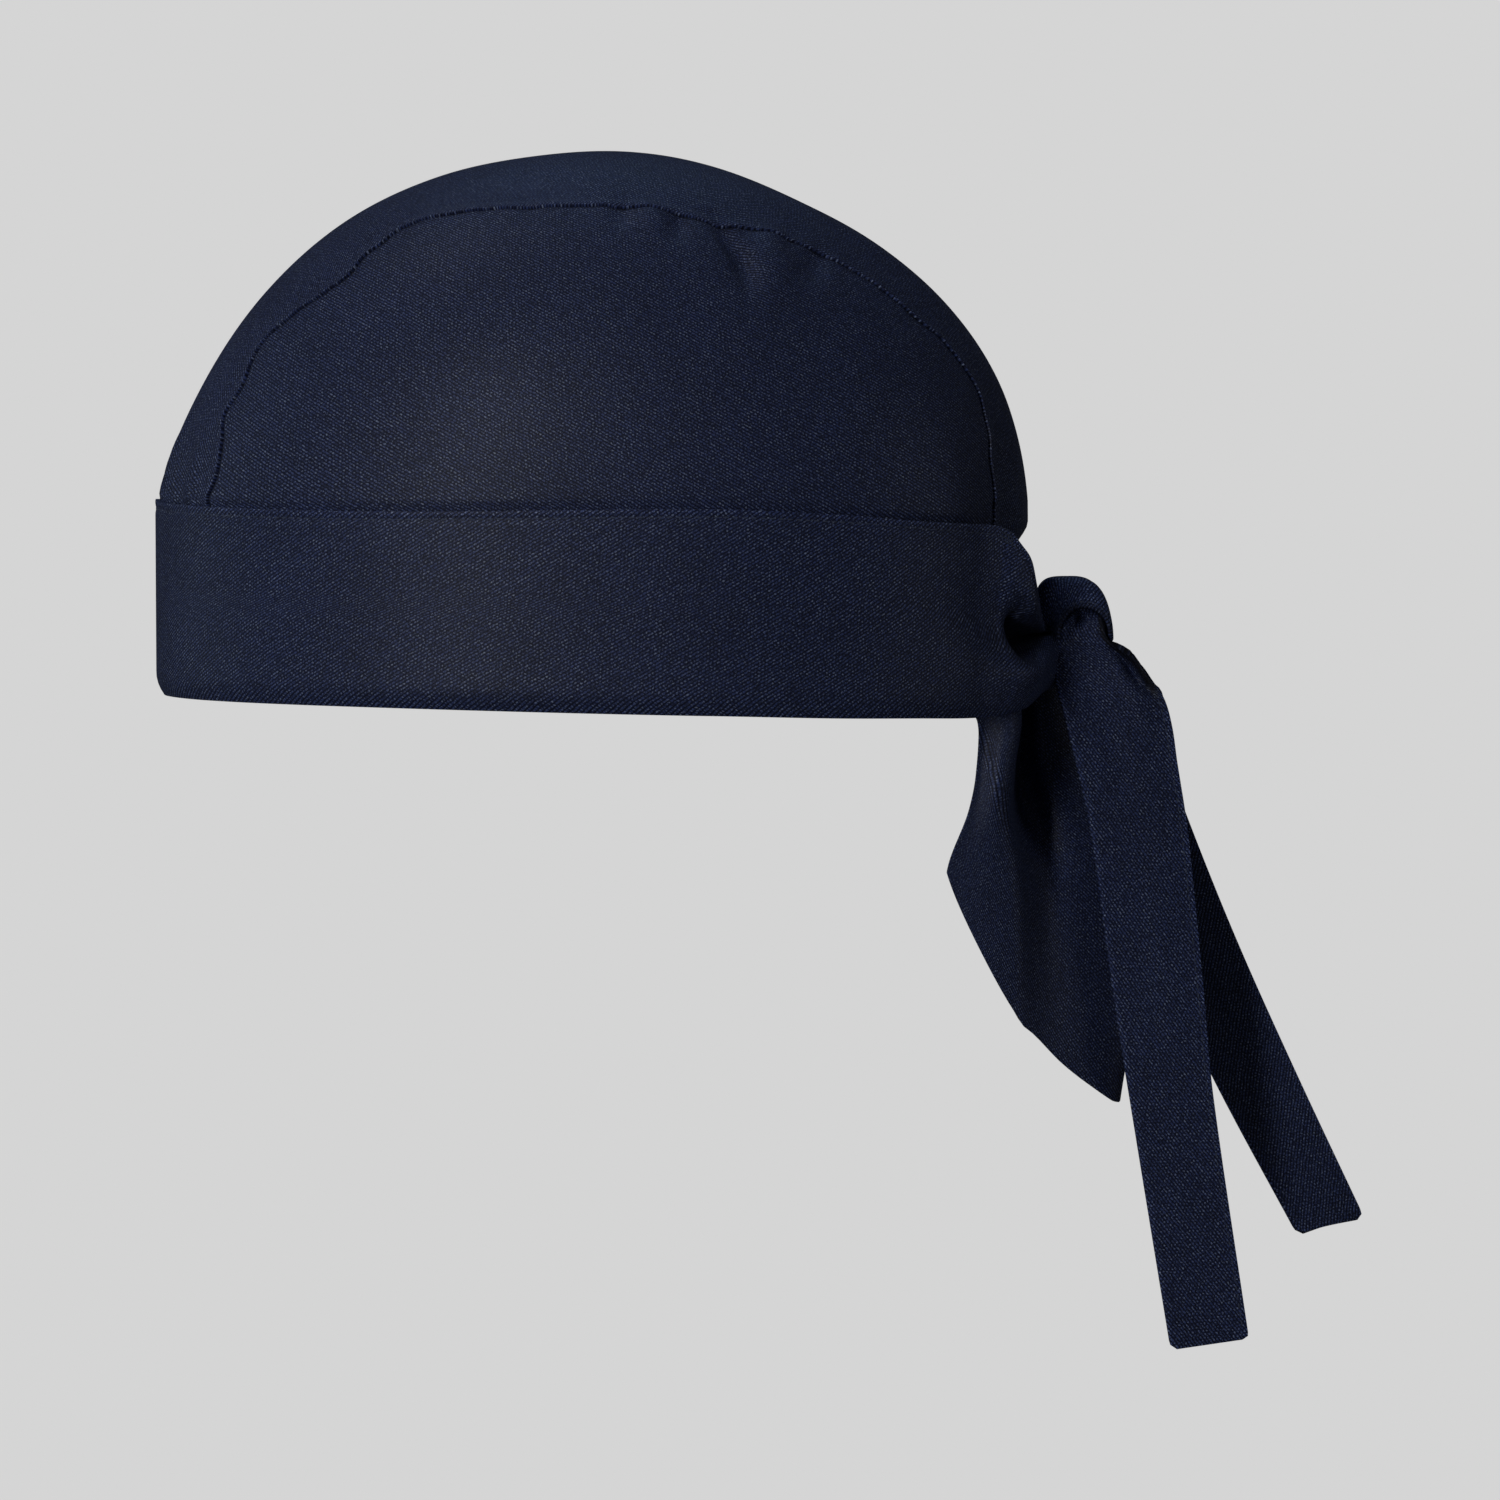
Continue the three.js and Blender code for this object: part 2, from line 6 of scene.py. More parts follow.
import bpy
import numpy as np
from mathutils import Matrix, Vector


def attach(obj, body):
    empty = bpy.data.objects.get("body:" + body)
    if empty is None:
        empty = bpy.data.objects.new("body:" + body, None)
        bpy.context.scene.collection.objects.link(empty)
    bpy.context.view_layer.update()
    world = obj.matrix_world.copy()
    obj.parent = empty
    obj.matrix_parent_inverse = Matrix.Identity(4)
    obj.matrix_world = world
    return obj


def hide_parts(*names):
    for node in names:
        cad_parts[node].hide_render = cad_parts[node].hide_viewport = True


bl_info = {
    "name": "Chef Skull Cap",
    "version": (1, 0, 0),
    "blender": (4, 5, 0),
    "location": "View3D > Sidebar > Skull Cap",
    "description": "Dresses a tied chef skull cap in twill, with its seams, folds and stitches",
    "category": "Add Mesh",
}

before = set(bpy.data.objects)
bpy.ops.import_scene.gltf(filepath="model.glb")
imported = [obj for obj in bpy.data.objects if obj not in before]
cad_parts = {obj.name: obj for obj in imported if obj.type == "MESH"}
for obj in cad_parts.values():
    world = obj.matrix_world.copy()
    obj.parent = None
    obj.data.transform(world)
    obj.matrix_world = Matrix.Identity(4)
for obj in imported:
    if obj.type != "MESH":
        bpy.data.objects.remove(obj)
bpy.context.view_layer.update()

# Lengths below are millimetres and turns are degrees, unless a comment says otherwise.
MM = 0.001
SIDES = ((1, "left"), (-1, "right"))

# ---- The cap's pattern, close to its CAD model's ----

HEAD_HALF_WIDTH = 79
CROWN_CENTRE = np.array([0, 8, 46])
CROWN_FULLNESS = 2.15

# Crown outline in the middle plane: turn over the head, and reach from CROWN_CENTRE.
CROWN_OUTLINE = (
    (0, 15, 30, 45, 60, 75, 90, 105, 120, 135, 150, 165, 180),
    (109.5, 102.4, 96.9, 92, 87, 82.9, 81.2, 80.6, 81.5, 84.8, 89, 92.5, 94.2),
)

# Seam between centre and side panels: turn, and spread out from the middle plane.
PANEL_SEAM = (
    (0, 4, 9, 13, 17.5, 22.5, 30, 38, 46, 52, 60, 71, 86, 98, 109, 120, 133, 147, 156,
     164, 173, 183),
    (24.3, 25.2, 24, 22.3, 23, 21.8, 24.3, 27.8, 26.6, 26, 28.4, 32.6, 34.9, 34.8, 35,
     31.5, 28.8, 25.9, 22.2, 20.2, 21.6, 21),
)
SEAM_START, SEAM_FRONT_CORNER, SEAM_BACK_CORNER, SEAM_END = 0, 22.5, 164, 183

# Soft folds of the crown: height, turn and its fade, share of the way from the middle
# to the seam and its fade.
SHOULDERS = (0.5, 140, 45, 0.55, 0.3)
HOLLOW = (-1.6, 140, 45, 0, 0.5)
SEAM_DIP = (-1.4, 178, 26, 1, 0.5)
BAND_TUCK = (-2.2, 182, 6, 1, 0.5)

# Creases of the crown: height, width, and the path by turn and spread. Each is highest at
# a share of its path and fades out over another.
CREASE_HIGHEST, CREASE_FADE = 0.45, 0.62
CREASES = (
    (-2.1, 4.0, ((107.5, 33), (111.5, 37.5), (116.5, 41.5), (119.5, 45), (122, 49))),
    (1.3, 6.5, ((117.5, 31), (121, 36.5), (124.5, 42), (128.5, 49))),
    (-1.2, 5, ((128, 29), (129, 34), (131, 40))),
    (-1.2, 3.4, ((100.5, 34), (101.6, 38), (103, 43.5))),
    (0.8, 3.6, ((95.5, 34), (96.4, 38), (97, 43))),
    (-0.8, 3.4, ((89.5, 34), (89.8, 38), (90, 42.5))),
    (0.35, 3.2, ((117, 13.5), (124, 17.6), (131.5, 17), (140, 15.3), (161, 15))),
    (1.0, 2.6, ((13, 10.4), (9, 9.8), (5, 9.4), (1, 9.8), (-3, 9.2))),
    (1.1, 2.2, ((6.5, 18.5), (3, 19.8), (0, 20.8), (-3, 21.2))),
    (-2.2, 6, ((7, 15.2), (3, 15.6), (-1, 15.4), (-3, 15.2))),
)

# Panels: where the centre panel starts, how its folded edge laps over the side panels,
# how the cloth tucks in behind the band, and how far the side panels run under.
FOOT_TURN = -3
SEAM_REACH = 85
LAP_PROUD, LAP_FADE, LAP_EDGE = 0.35, 3.2, 0.8
LAP_UNDER, LAP_UNDER_FADE = 0.85, (-0.9, 1.0)
TUCK_DEPTH, TUCK_HEIGHT = 0.8, 2.2
SIDE_UNDERLAP_SPREAD, SIDE_FOOT_DROP, SIDE_RELIEF_FADE = 2.2, 4, 20
DITCH_AWAY, DITCH_SUNK = 0.45, 0.35

# Puckers at the panel seam: heights, how far they reach, and their waves to the radian.
PUCKER_ON_CENTRE, PUCKER_ON_SIDE, PUCKER_FADE = 0.16, 0.22, 3.5
PUCKER_COARSE, PUCKER_DRIFT, PUCKER_DRIFT_SHARE = 34, 9, 1.3
PUCKER_FINE, PUCKER_FINE_SHARE, PUCKER_FINE_START = 57, 0.6, 2

# Band: shares of its height run from 0 at the lower edge to 1 at the upper one, and a
# bump is given by its middle and its width.
BAND_PROUD = 0.7
HEM_CURL, HEM_UP = 1.8, 0.12
RIDGE_UP = 0.45
PLEAT_BULGE = (0.37, 0.3)
PLEAT_FOLD = (0.57, 0.24)
BAND_STITCH_DOWN = 1.7
BAND_GROOVE, BAND_GROOVE_WIDTH = 0.25, 0.9
BAND_CUT_HEIGHT, BAND_CUT_CHANGE = 48, (0.46, 0.6)
BAND_LEAVES_HEAD, BAND_LINE_STEP = 150, 10
BAND_TO_KNOT = ((31, 95.4), (20.5, 101), (12.8, 104), (7.8, 106.8), (5.6, 110.4))

# Band sections by run from the knot: heights of the lower edge, ridge and upper edge,
# how far the ridge stands out, and how far the fold above it dips in.
BAND_RUN = (0, 4, 8, 12, 16, 22, 28, 36, 48, 64, 85, 115, 200, 300)
BAND_SECTIONS = {
    "bottom": (2.6, 1.4, -0.4, -1.6, -2.2, -2.6, -2.9, -3, -2.8, -2.2, -1.6, -0.6, 1, 0.8),
    "ridge": (14.6, 14, 12.4, 10.6, 9.8, 9.6, 9.8, 10.6, 14.8, 19.4, 20, 20, 20, 20),
    "top": (15.8, 16, 18, 25.4, 31.5, 35.6, 39, 40.7, 41.4, 42.3, 44, 45.4, 44.8, 46.4),
    "out": (0.4, 0.8, 1.4, 2.2, 2.8, 3, 2.8, 2, 0.8, 0, 0, 0, 0, 0),
    "dip": (0.4, 4, 9, 12, 10, 5.4, 3, 2, 1, 0, 0, 0, 0, 0),
}

# How far the gathered band stands out to the side, above and below its pleat, the
# heights between which the one becomes the other, and the way in which it stands out.
BAND_FLARE_RUN = (0, 2, 4, 6.5, 8.5, 10.5, 12.5, 15, 20, 26, 34, 46, 300)
BAND_FLARES = {
    "upper": (0, 0, 0, 1, 6, 15, 18.4, 17.6, 14.4, 10.8, 5.4, 0.8, 0),
    "lower": (1.5, 4, 6.4, 9, 10.2, 11, 11.4, 11.5, 10.6, 8.6, 4.8, 0.8, 0),
}
FLARE_CHANGE = (0.46, 0.78)
FLARE_WAY = (1, -0.045, 0.06)

# Tail: its hem's corner and point, how the point is rounded, how far the whole tail turns
# with its height, and where its cut leaves that of the crown.
TAIL_CORNER_Z, TAIL_POINT_Z, TAIL_POWER = -39.3, -96.6, 1.4
TAIL_POINT_ROUND, TAIL_POINT_WIDTH = 0.9, 0.05
TAIL_TURN_SHARE, TAIL_TURN_Z = 0.066, -16
TAIL_CUT_CHANGE = (1, 1.15)

# Tail sections by height, from the keel in the middle out to the side hem: the keel's
# bulge, the floor of the hollow, the foot of the fold, its crest and the edge.
TAIL_SECTION_Z = (33, 18, 8, 2, -2, -7, -15, -25, -40, -70, -96)
TAIL_SECTION_SHARES = (-0.12, 0, 0.12, 0.3, 0.44, 0.5, 1)
TAIL_SECTIONS = {
    "keel_y": (98.6, 94.4, 104, 110.4, 111.6, 113, 115.6, 119.6, 125.3, 127.8, 124.4),
    "bulge_x": (4.4, 4, 5.6, 6.4, 6.6, 6.8, 7, 7.4, 7.6, 7, 6),
    "bulge_y": (98.2, 94, 98.6, 103.4, 104.8, 105.6, 107, 110, 115, 118.6, 121.4),
    "floor_x": (10.6, 9.6, 5, 3, 3, 3, 3, 4, 10, 12.5, 10.5),
    "floor_y": (97.4, 93.2, 95.4, 100.4, 101.8, 102.2, 102.4, 103.4, 107, 110, 112.8),
    "foot_x": (16.6, 17.2, 9, 4.6, 4.4, 4.6, 5, 8, 17.5, 18.5, 14),
    "foot_y": (95.8, 91.2, 94, 98.2, 99.4, 99.8, 99.8, 99.8, 103, 104.6, 107),
    "fold_x": (19, 22, 24, 26, 28, 29.5, 30.5, 30, 27, 23, 17),
    "fold_y": (94.8, 90, 94, 98.4, 99.9, 100.4, 100.1, 98.9, 100.6, 101.6, 103.4),
    "edge_x": (33, 35, 35, 34, 33.4, 33.6, 34, 33.4, 31.5, 28, 22),
    "edge_y": (88.4, 86, 86, 87.6, 89.2, 90.8, 91.6, 89.8, 84.6, 84.6, 84.6),
}

# Ties by side and height: y of the front and back edges, distance of the outer face to
# the side, how far the back edge lies above the front one, and how much further out.
TIES = {
    1: {
        "z": (23.6, 20.6, 17.4, 14.6, 12.2, 8.5, 4.2, -0.5, -7, -14.5, -31, -70.6, -94, -151.6),
        "front": (112.4, 110.8, 110.1, 109.3, 108.6, 107.9, 108.4, 109.5, 111.2, 113, 116.7,
                  122.3, 126.2, 135.8),
        "back": (116.6, 118.4, 119.4, 120, 122, 127.6, 130.9, 133.9, 135.7, 136.8, 139.4,
                 143.5, 145.7, 154.2),
        "side": (5.6, 9.2, 11.2, 11.6, 11.5, 11.2, 11.4, 11.6, 11.6, 11.6, 11.2, 10.4, 10.6,
                 12.4),
        "rise": (0,) * 12 + (0.8, 1.9),
        "twist": (0, 0, 0, 0, 0, -1, -2, -3, -3, -3, -3, -2, -2, -2),
    },
    -1: {
        "z": (23.6, 20.6, 17.4, 14.6, 12, 6, -4, -16, -29, -60, -92.6, -128.4),
        "front": (112.4, 110.8, 110.1, 109.3, 108.6, 109, 111, 114.6, 119.4, 132.2, 148.2, 168),
        "back": (116.6, 118.4, 119.4, 120, 121, 125, 130.4, 136, 140.4, 152.8, 167.4, 184),
        "side": (4.6, 7.2, 9.4, 10.6, 11, 11.2, 11.4, 12.2, 13.2, 16, 20, 24),
        "rise": (0,) * 9 + (1, 2, 3.6),
        "twist": (0, 0, 0, 0, 0, 1, 3, 4, 5, 6, 6, 6),
    },
}

TIE_CORNER_ROUND = 1.6

# Folds of the left tie, mirrored on the right one: height, width, and the path as share of
# the tie's width and z. Each fades out over a share of its length from its middle.
TIE_FOLD_FADE = 0.62
TIE_FOLDS = (
    (-3.4, 2.2, ((0.9, 11.6), (0.87, 9.6), (0.84, 7), (0.85, 3.8), (0.92, 0.4))),
    (-3.2, 1.5, ((0.52, 20.4), (0.45, 18.4), (0.36, 16.4))),
    (-0.9, 1.4, ((0.36, 17), (0.22, 14.6), (0.1, 12.4))),
    (0.7, 3.4, ((0.78, 10), (0.72, 5), (0.74, -2), (0.8, -10))),
    (-0.5, 5, ((0.3, 12), (0.34, 2), (0.4, -12), (0.44, -26))),
    (0.35, 4.5, ((0.66, -30), (0.6, -60), (0.62, -90))),
)

# Knot arches by share of the way from the middle to a hem. A power of 1 gives a round
# arch and a smaller one a squarer arch.
KNOT_HALF_WIDTH = 13
KNOT_CLOTH = 0.9
KNOT_ACROSS = (0, 0.3, 0.6, 0.85, 1)
KNOT_ARCHES = {
    "centre_y": (112.5, 112.9, 114.6, 115, 114.8),
    "half_span": (9.1, 8.7, 7.2, 6.8, 6.4),
    "front_z": (11, 11.6, 13.6, 13.8, 13.6),
    "back_z": (13, 13, 13, 13.6, 14.6),
    "crown_z": (27.8, 28, 27.2, 24, 21.4),
    "front_square": (0.42, 0.46, 0.72, 0.88, 0.95),
    "back_square": (0.8, 0.82, 0.86, 0.9, 0.95),
}


# ---- Sizes and colours a user would change ----


class SkullCapCloth(bpy.types.PropertyGroup):
    """The twill and how it is sewn."""

    panel_cloth: bpy.props.FloatProperty(
        name="Panel cloth", description="Thickness of the crown panels' single cloth",
        default=0.0009, unit="LENGTH")
    band_cloth: bpy.props.FloatProperty(
        name="Band cloth", description="Thickness of the band's folded cloth",
        default=0.0013, unit="LENGTH")
    tie_cloth: bpy.props.FloatProperty(
        name="Tie cloth", description="Thickness of a tie's folded cloth",
        default=0.0016, unit="LENGTH")
    rib_pitch: bpy.props.FloatProperty(
        name="Rib pitch", description="Distance from one twill rib to the next",
        default=0.00071, unit="LENGTH")
    rib_depth: bpy.props.FloatProperty(
        name="Rib depth", description="How deep the furrows between ribs look",
        default=0.00010, unit="LENGTH")
    stitch_pitch: bpy.props.FloatProperty(
        name="Stitch pitch", description="Distance from one stitch to the next",
        default=0.0021, unit="LENGTH")
    thread_width: bpy.props.FloatProperty(
        name="Thread width", description="Thickness of the sewing thread",
        default=0.00036, unit="LENGTH")
    rib_colour: bpy.props.FloatVectorProperty(
        name="Rib colour", description="Colour of the twill's raised ribs",
        default=(0.0590, 0.0910, 0.2640), size=3, subtype="COLOR", min=0, max=1)
    furrow_colour: bpy.props.FloatVectorProperty(
        name="Furrow colour", description="Colour between the ribs",
        default=(0.0028, 0.0042, 0.0170), size=3, subtype="COLOR", min=0, max=1)
    thread_colour: bpy.props.FloatVectorProperty(
        name="Thread colour", description="Colour of the sewing thread",
        default=(0.075, 0.095, 0.160), size=3, subtype="COLOR", min=0, max=1)


class SkullCapStudio(bpy.types.PropertyGroup):
    """The floor, the lights and the camera."""

    backdrop_grey: bpy.props.FloatProperty(
        name="Backdrop grey", description="Brightness of the pale floor and backdrop",
        default=0.665, min=0, max=1)
    light_power: bpy.props.FloatProperty(
        name="Light power", description="Brightness of all the lamps together",
        default=1.0, min=0)
    air_strength: bpy.props.FloatProperty(
        name="Air light", description="Even light from all round",
        default=0.03, min=0)
    camera_distance: bpy.props.FloatProperty(
        name="Camera distance", description="Distance from the camera to its target",
        default=1.45, unit="LENGTH")
    camera_height: bpy.props.FloatProperty(
        name="Camera height", description="Angle of the camera above the level",
        default=math.radians(3.5), unit="ROTATION")
    camera_lens: bpy.props.FloatProperty(
        name="Lens", description="Focal length of the camera",
        default=148.1, subtype="DISTANCE_CAMERA")


# ---- Curves and folds ----


def bump(at, middle, width):
    """A smooth bump: 1 at the middle, 0 a width or more to either side."""
    off = np.minimum(np.abs(at - middle) / width, 1)
    return (1 - off * off) ** 2


def ease(at, start, end):
    """Rises smoothly from 0 at start to 1 at end."""
    t = np.clip((at - start) / (end - start), 0, 1)
    return t * t * (3 - 2 * t)


def lerp(a, b, t):
    """From a at 0 to b at 1, in a straight line."""
    return a + (b - a) * t


def read(keys, values, at):
    """Reads a table at any place between its rows, along a smooth cubic. A row holds one
    value, or a value for each of the places."""
    keys, values = np.asarray(keys, float), np.asarray(values, float)
    if keys[0] > keys[-1]:
        keys, values = keys[::-1], values[::-1]
    slopes = np.empty_like(values)
    slopes[1:-1] = ((values[2:] - values[:-2]).T / (keys[2:] - keys[:-2])).T
    slopes[0] = (values[1] - values[0]) / (keys[1] - keys[0])
    slopes[-1] = (values[-1] - values[-2]) / (keys[-1] - keys[-2])
    place = np.clip(at, keys[0], keys[-1])
    i = np.clip(np.searchsorted(keys, place, side="right") - 1, 0, len(keys) - 2)
    span = keys[i + 1] - keys[i]
    t = (place - keys[i]) / span
    here, after = (i, i + 1)
    if values.ndim > 1:
        column = np.arange(place.size)
        here, after = (i, column), (i + 1, column)
    leaving = t * (1 - t) ** 2 * span * slopes[here]
    arriving = t * t * (t - 1) * span * slopes[after]
    return lerp(values[here], values[after], t * t * (3 - 2 * t)) + leaving + arriving


def vector(x, y, z):
    return np.stack(np.broadcast_arrays(x, y, z), -1).astype(float)


def unit(v):
    return v / np.linalg.norm(v, axis=-1, keepdims=True)


def distance_along(points):
    """Distance run along each line of points, from its first one."""
    steps = np.linalg.norm(np.diff(points, axis=0), axis=-1)
    return np.concatenate([0 * steps[:1], np.cumsum(steps, axis=0)])


def on_side(points, side):
    """Moves points of the wearer's left to the side with that sign."""
    points[..., 0] *= side
    return points


def spaced(start, *steps_and_stops):
    """Places from start to the last stop, no more than a step apart before each stop."""
    places = [np.array([start], float)]
    for step, stop in zip(steps_and_stops[::2], steps_and_stops[1::2]):
        count = max(1, math.ceil(abs(stop - start) / step))
        places.append(np.linspace(start, stop, count + 1)[1:])
        start = stop
    return np.concatenate(places)


# ---- The crown surface ----


def crown_direction(turn, spread):
    a, b = np.radians(turn), np.radians(spread)
    return vector(np.sin(b), -np.cos(b) * np.cos(a), np.cos(b) * np.sin(a))


def turn_of(direction):
    turn = np.degrees(np.arctan2(direction[..., 2], -direction[..., 1]))
    return np.where(turn < -90, turn + 360, turn)


def spread_of(direction):
    return np.degrees(np.arcsin(np.clip(np.abs(unit(direction)[..., 0]), 0, 1)))


def crown_point(direction, lift=0.0):
    """Point of the crown in a direction from its centre, lifted off it by a length."""
    d = unit(direction)
    along = np.hypot(d[..., 1], np.maximum(d[..., 2], 0))
    along_share = along / read(*CROWN_OUTLINE, turn_of(d))
    across_share = np.abs(d[..., 0]) / HEAD_HALF_WIDTH
    total = along_share**CROWN_FULLNESS + across_share**CROWN_FULLNESS
    reach = total ** (-1 / CROWN_FULLNESS) + lift
    return d * reach[..., None] + CROWN_CENTRE


def plan_point(angle):
    a = np.radians(angle)
    return crown_point(vector(np.sin(a), -np.cos(a), 0 * a))


def fold(turn, share, height, at_turn, turn_fade, at_share, share_fade):
    return height * bump(turn, at_turn, turn_fade) * bump(share, at_share, share_fade)


def crown_relief(turn, share):
    pulled = np.minimum(fold(turn, share, *SEAM_DIP), fold(turn, share, *BAND_TUCK))
    return fold(turn, share, *SHOULDERS) + fold(turn, share, *HOLLOW) + pulled


def seam_spread(turn):
    return read(*PANEL_SEAM, turn)


def past_seam(turn, spread):
    """Distance past the panel seam, positive on the side panel."""
    return np.radians(spread - seam_spread(turn)) * SEAM_REACH


def creased(turn, spread):
    """Height of the creases, each fading out towards both of its ends."""
    total = np.zeros_like(turn)
    for height, width, path in CREASES:
        nodes = np.array(path, float)
        nearest, along = np.full_like(turn, np.inf), np.zeros_like(turn)
        for k in range(len(nodes) - 1):
            (turn_a, spread_a), (turn_b, spread_b) = nodes[k], nodes[k + 1]
            squeeze = math.cos(math.radians((spread_a + spread_b) / 2))
            leg = np.array([(turn_b - turn_a) * squeeze, spread_b - spread_a])
            off_turn, off_spread = (turn - turn_a) * squeeze, spread - spread_a
            t = np.clip((off_turn * leg[0] + off_spread * leg[1]) / (leg @ leg), 0, 1)
            away = np.hypot(off_turn - t * leg[0], off_spread - t * leg[1])
            along = np.where(away < nearest, (k + t) / (len(nodes) - 1), along)
            nearest = np.minimum(away, nearest)
        reach = np.radians(nearest) * SEAM_REACH
        total += height * bump(reach, 0, width) * bump(along, CREASE_HIGHEST, CREASE_FADE)
    return total


# ---- The band ----


def band_line():
    """The band's middle line in plan, with the distance run along it from the knot."""
    on_head = np.arange(BAND_LEAVES_HEAD, -1, -BAND_LINE_STEP)
    points = [np.array(p, float) for p in reversed(BAND_TO_KNOT)]
    points += [p[:2] for p in plan_point(on_head)]
    return distance_along(np.array(points)), np.array(points)


BAND_LINE_RUN, BAND_LINE_POINTS = band_line()
BAND_HALF_LENGTH = BAND_LINE_RUN[-1]


def band_place(run):
    """Point of the band's middle line at a run. Past the forehead's middle it mirrors."""
    past = run > BAND_HALF_LENGTH
    back = np.where(past, 2 * BAND_HALF_LENGTH - run, run)
    x = read(BAND_LINE_RUN, BAND_LINE_POINTS[:, 0], back)
    y = read(BAND_LINE_RUN, BAND_LINE_POINTS[:, 1], back)
    return np.where(past, -x, x), y


def band_outward(run):
    ax, ay = band_place(run + 1)
    bx, by = band_place(np.maximum(run - 1, 0))
    along = unit(vector(ax - bx, ay - by, 0 * ax))
    return vector(-along[..., 1], along[..., 0], 0 * ax)


def band_section(key, run):
    return read(BAND_RUN, BAND_SECTIONS[key], run)


PLACES_AT_ONCE = 4000


def nearest_run(x, y):
    """Run of the band's middle line nearest to each point in plan."""
    runs = np.arange(0, BAND_HALF_LENGTH, 1)
    bx, by = band_place(runs)
    near = np.empty(x.size)
    for start in range(0, x.size, PLACES_AT_ONCE):
        part = slice(start, start + PLACES_AT_ONCE)
        away = np.hypot(np.abs(x[part, None]) - bx, y[part, None] - by)
        near[part] = runs[away.argmin(axis=1)]
    return near


def band_point(run, up):
    """Point of the band's outer face on the wearer's left."""
    low, ridge, top = (band_section(key, run) for key in ("bottom", "ridge", "top"))
    z = np.where(up < RIDGE_UP, lerp(low, ridge, up / RIDGE_UP),
                 lerp(ridge, top, (up - RIDGE_UP) / (1 - RIDGE_UP)))
    curl = HEM_CURL * np.maximum(0, 1 - up / HEM_UP) ** 2
    pleat = (band_section("out", run) * bump(up, *PLEAT_BULGE)
             - band_section("dip", run) * bump(up, *PLEAT_FOLD))
    below_top = (1 - up) * (top - low)
    groove = BAND_GROOVE * bump(below_top, BAND_STITCH_DOWN, BAND_GROOVE_WIDTH)
    x, y = band_place(run)
    place = vector(x, y, z)
    place += band_outward(run) * (BAND_PROUD + pleat - curl - groove)[..., None]
    upper, lower = (read(BAND_FLARE_RUN, BAND_FLARES[key], run) for key in ("upper", "lower"))
    flare = lerp(lower, upper, ease(up, *FLARE_CHANGE))
    return place + flare[..., None] * np.array(FLARE_WAY)


def band_place_across(sideways, up):
    """sideways: signed distance along the band from the middle of the forehead."""
    return on_side(band_point(BAND_HALF_LENGTH - np.abs(sideways), up),
                   np.where(sideways < 0, -1, 1))


def band_cut(across, along, points):
    """Cut of the band: along the cloth in plan, and up its height. Each layer keeps its
    own height, and the pleat hides the cloth between them."""
    columns = len(np.unique(across))
    grid = points.reshape(-1, columns, 3)
    up = along.reshape(-1, columns)
    from_head = grid[..., 2] + BAND_CUT_HEIGHT - BAND_SECTIONS["top"][-1]
    height = lerp(distance_along(grid), from_head, ease(up, *BAND_CUT_CHANGE))
    run = strip_cut(points * [1, 1, 0], columns, len(grid))[:, 0]
    return np.stack([run, height.ravel()], -1)


# ---- The panels ----


def pucker(turn, away):
    """Small puckers that the seam's stitches pull across it."""
    a = np.radians(turn)
    coarse = np.sin(PUCKER_COARSE * a + PUCKER_DRIFT_SHARE * np.sin(PUCKER_DRIFT * a))
    fine = PUCKER_FINE_SHARE * np.sin(PUCKER_FINE * a + PUCKER_FINE_START)
    return (coarse + fine) * np.exp(-np.abs(away) / PUCKER_FADE)


def tucked_point(direction, lift):
    """Point of the crown's cloth, sunk where it runs in behind the band's upper edge."""
    x, y, z = crown_point(direction, lift).T
    above = z - band_section("top", nearest_run(x, y))
    return crown_point(direction, lift - TUCK_DEPTH * (1 - ease(above, 0, TUCK_HEIGHT)))


def panel_seam_lap(away):
    """How the centre panel's folded edge stands proud of the side panel."""
    return LAP_PROUD * ease(away, -LAP_FADE, -LAP_EDGE)


def centre_place(across, along):
    """across: wearer's right edge -1 to left edge 1. along: 0 at the forehead's foot, 1 at
    the nape, 2 at the hem."""
    share = np.abs(across)
    turn = lerp(FOOT_TURN, SEAM_END, np.clip(along, 0, 1))
    spread = share * seam_spread(turn)
    direction = crown_direction(turn, spread)
    away = past_seam(turn, spread)
    lift = (crown_relief(turn, share) + creased(turn, spread) + panel_seam_lap(away)
            + PUCKER_ON_CENTRE * pucker(turn, away))
    point = tucked_point(direction, lift)
    hanging = along > 1
    if hanging.any():
        point[hanging] = hanging_place(share[hanging], along[hanging] - 1)
    turned = TAIL_TURN_SHARE * ease(-point[..., 2], 0, -TAIL_TURN_Z)
    way = np.where(across < 0, -1, 1)
    point[..., 1] -= np.where(hanging, way * turned * point[..., 0], 0)
    return on_side(point, way)


def centre_cut(across, along, points):
    """Cut of the centre panel: straight over the crown, as wide as its seams allow, and
    below the nape as its folds lie."""
    columns = len(np.unique(across))
    grid = points.reshape(-1, columns, 3)
    over_cloth, run = strip_cut(points, columns, len(grid)).T
    turn = lerp(FOOT_TURN, SEAM_END, np.clip(along, 0, 1))
    half = np.radians(seam_spread(turn)) * SEAM_REACH
    folded = np.copysign(over_cloth, across)
    sideways = lerp(across * half, folded, ease(along, *TAIL_CUT_CHANGE))
    run = run.reshape(-1, columns)
    nape = np.argmax(along.reshape(-1, columns)[:, 0] <= 1)
    run[:nape] = run[nape] - (grid[nape, :, 2] - grid[:nape, :, 2])
    return np.stack([sideways, run.ravel()], -1)


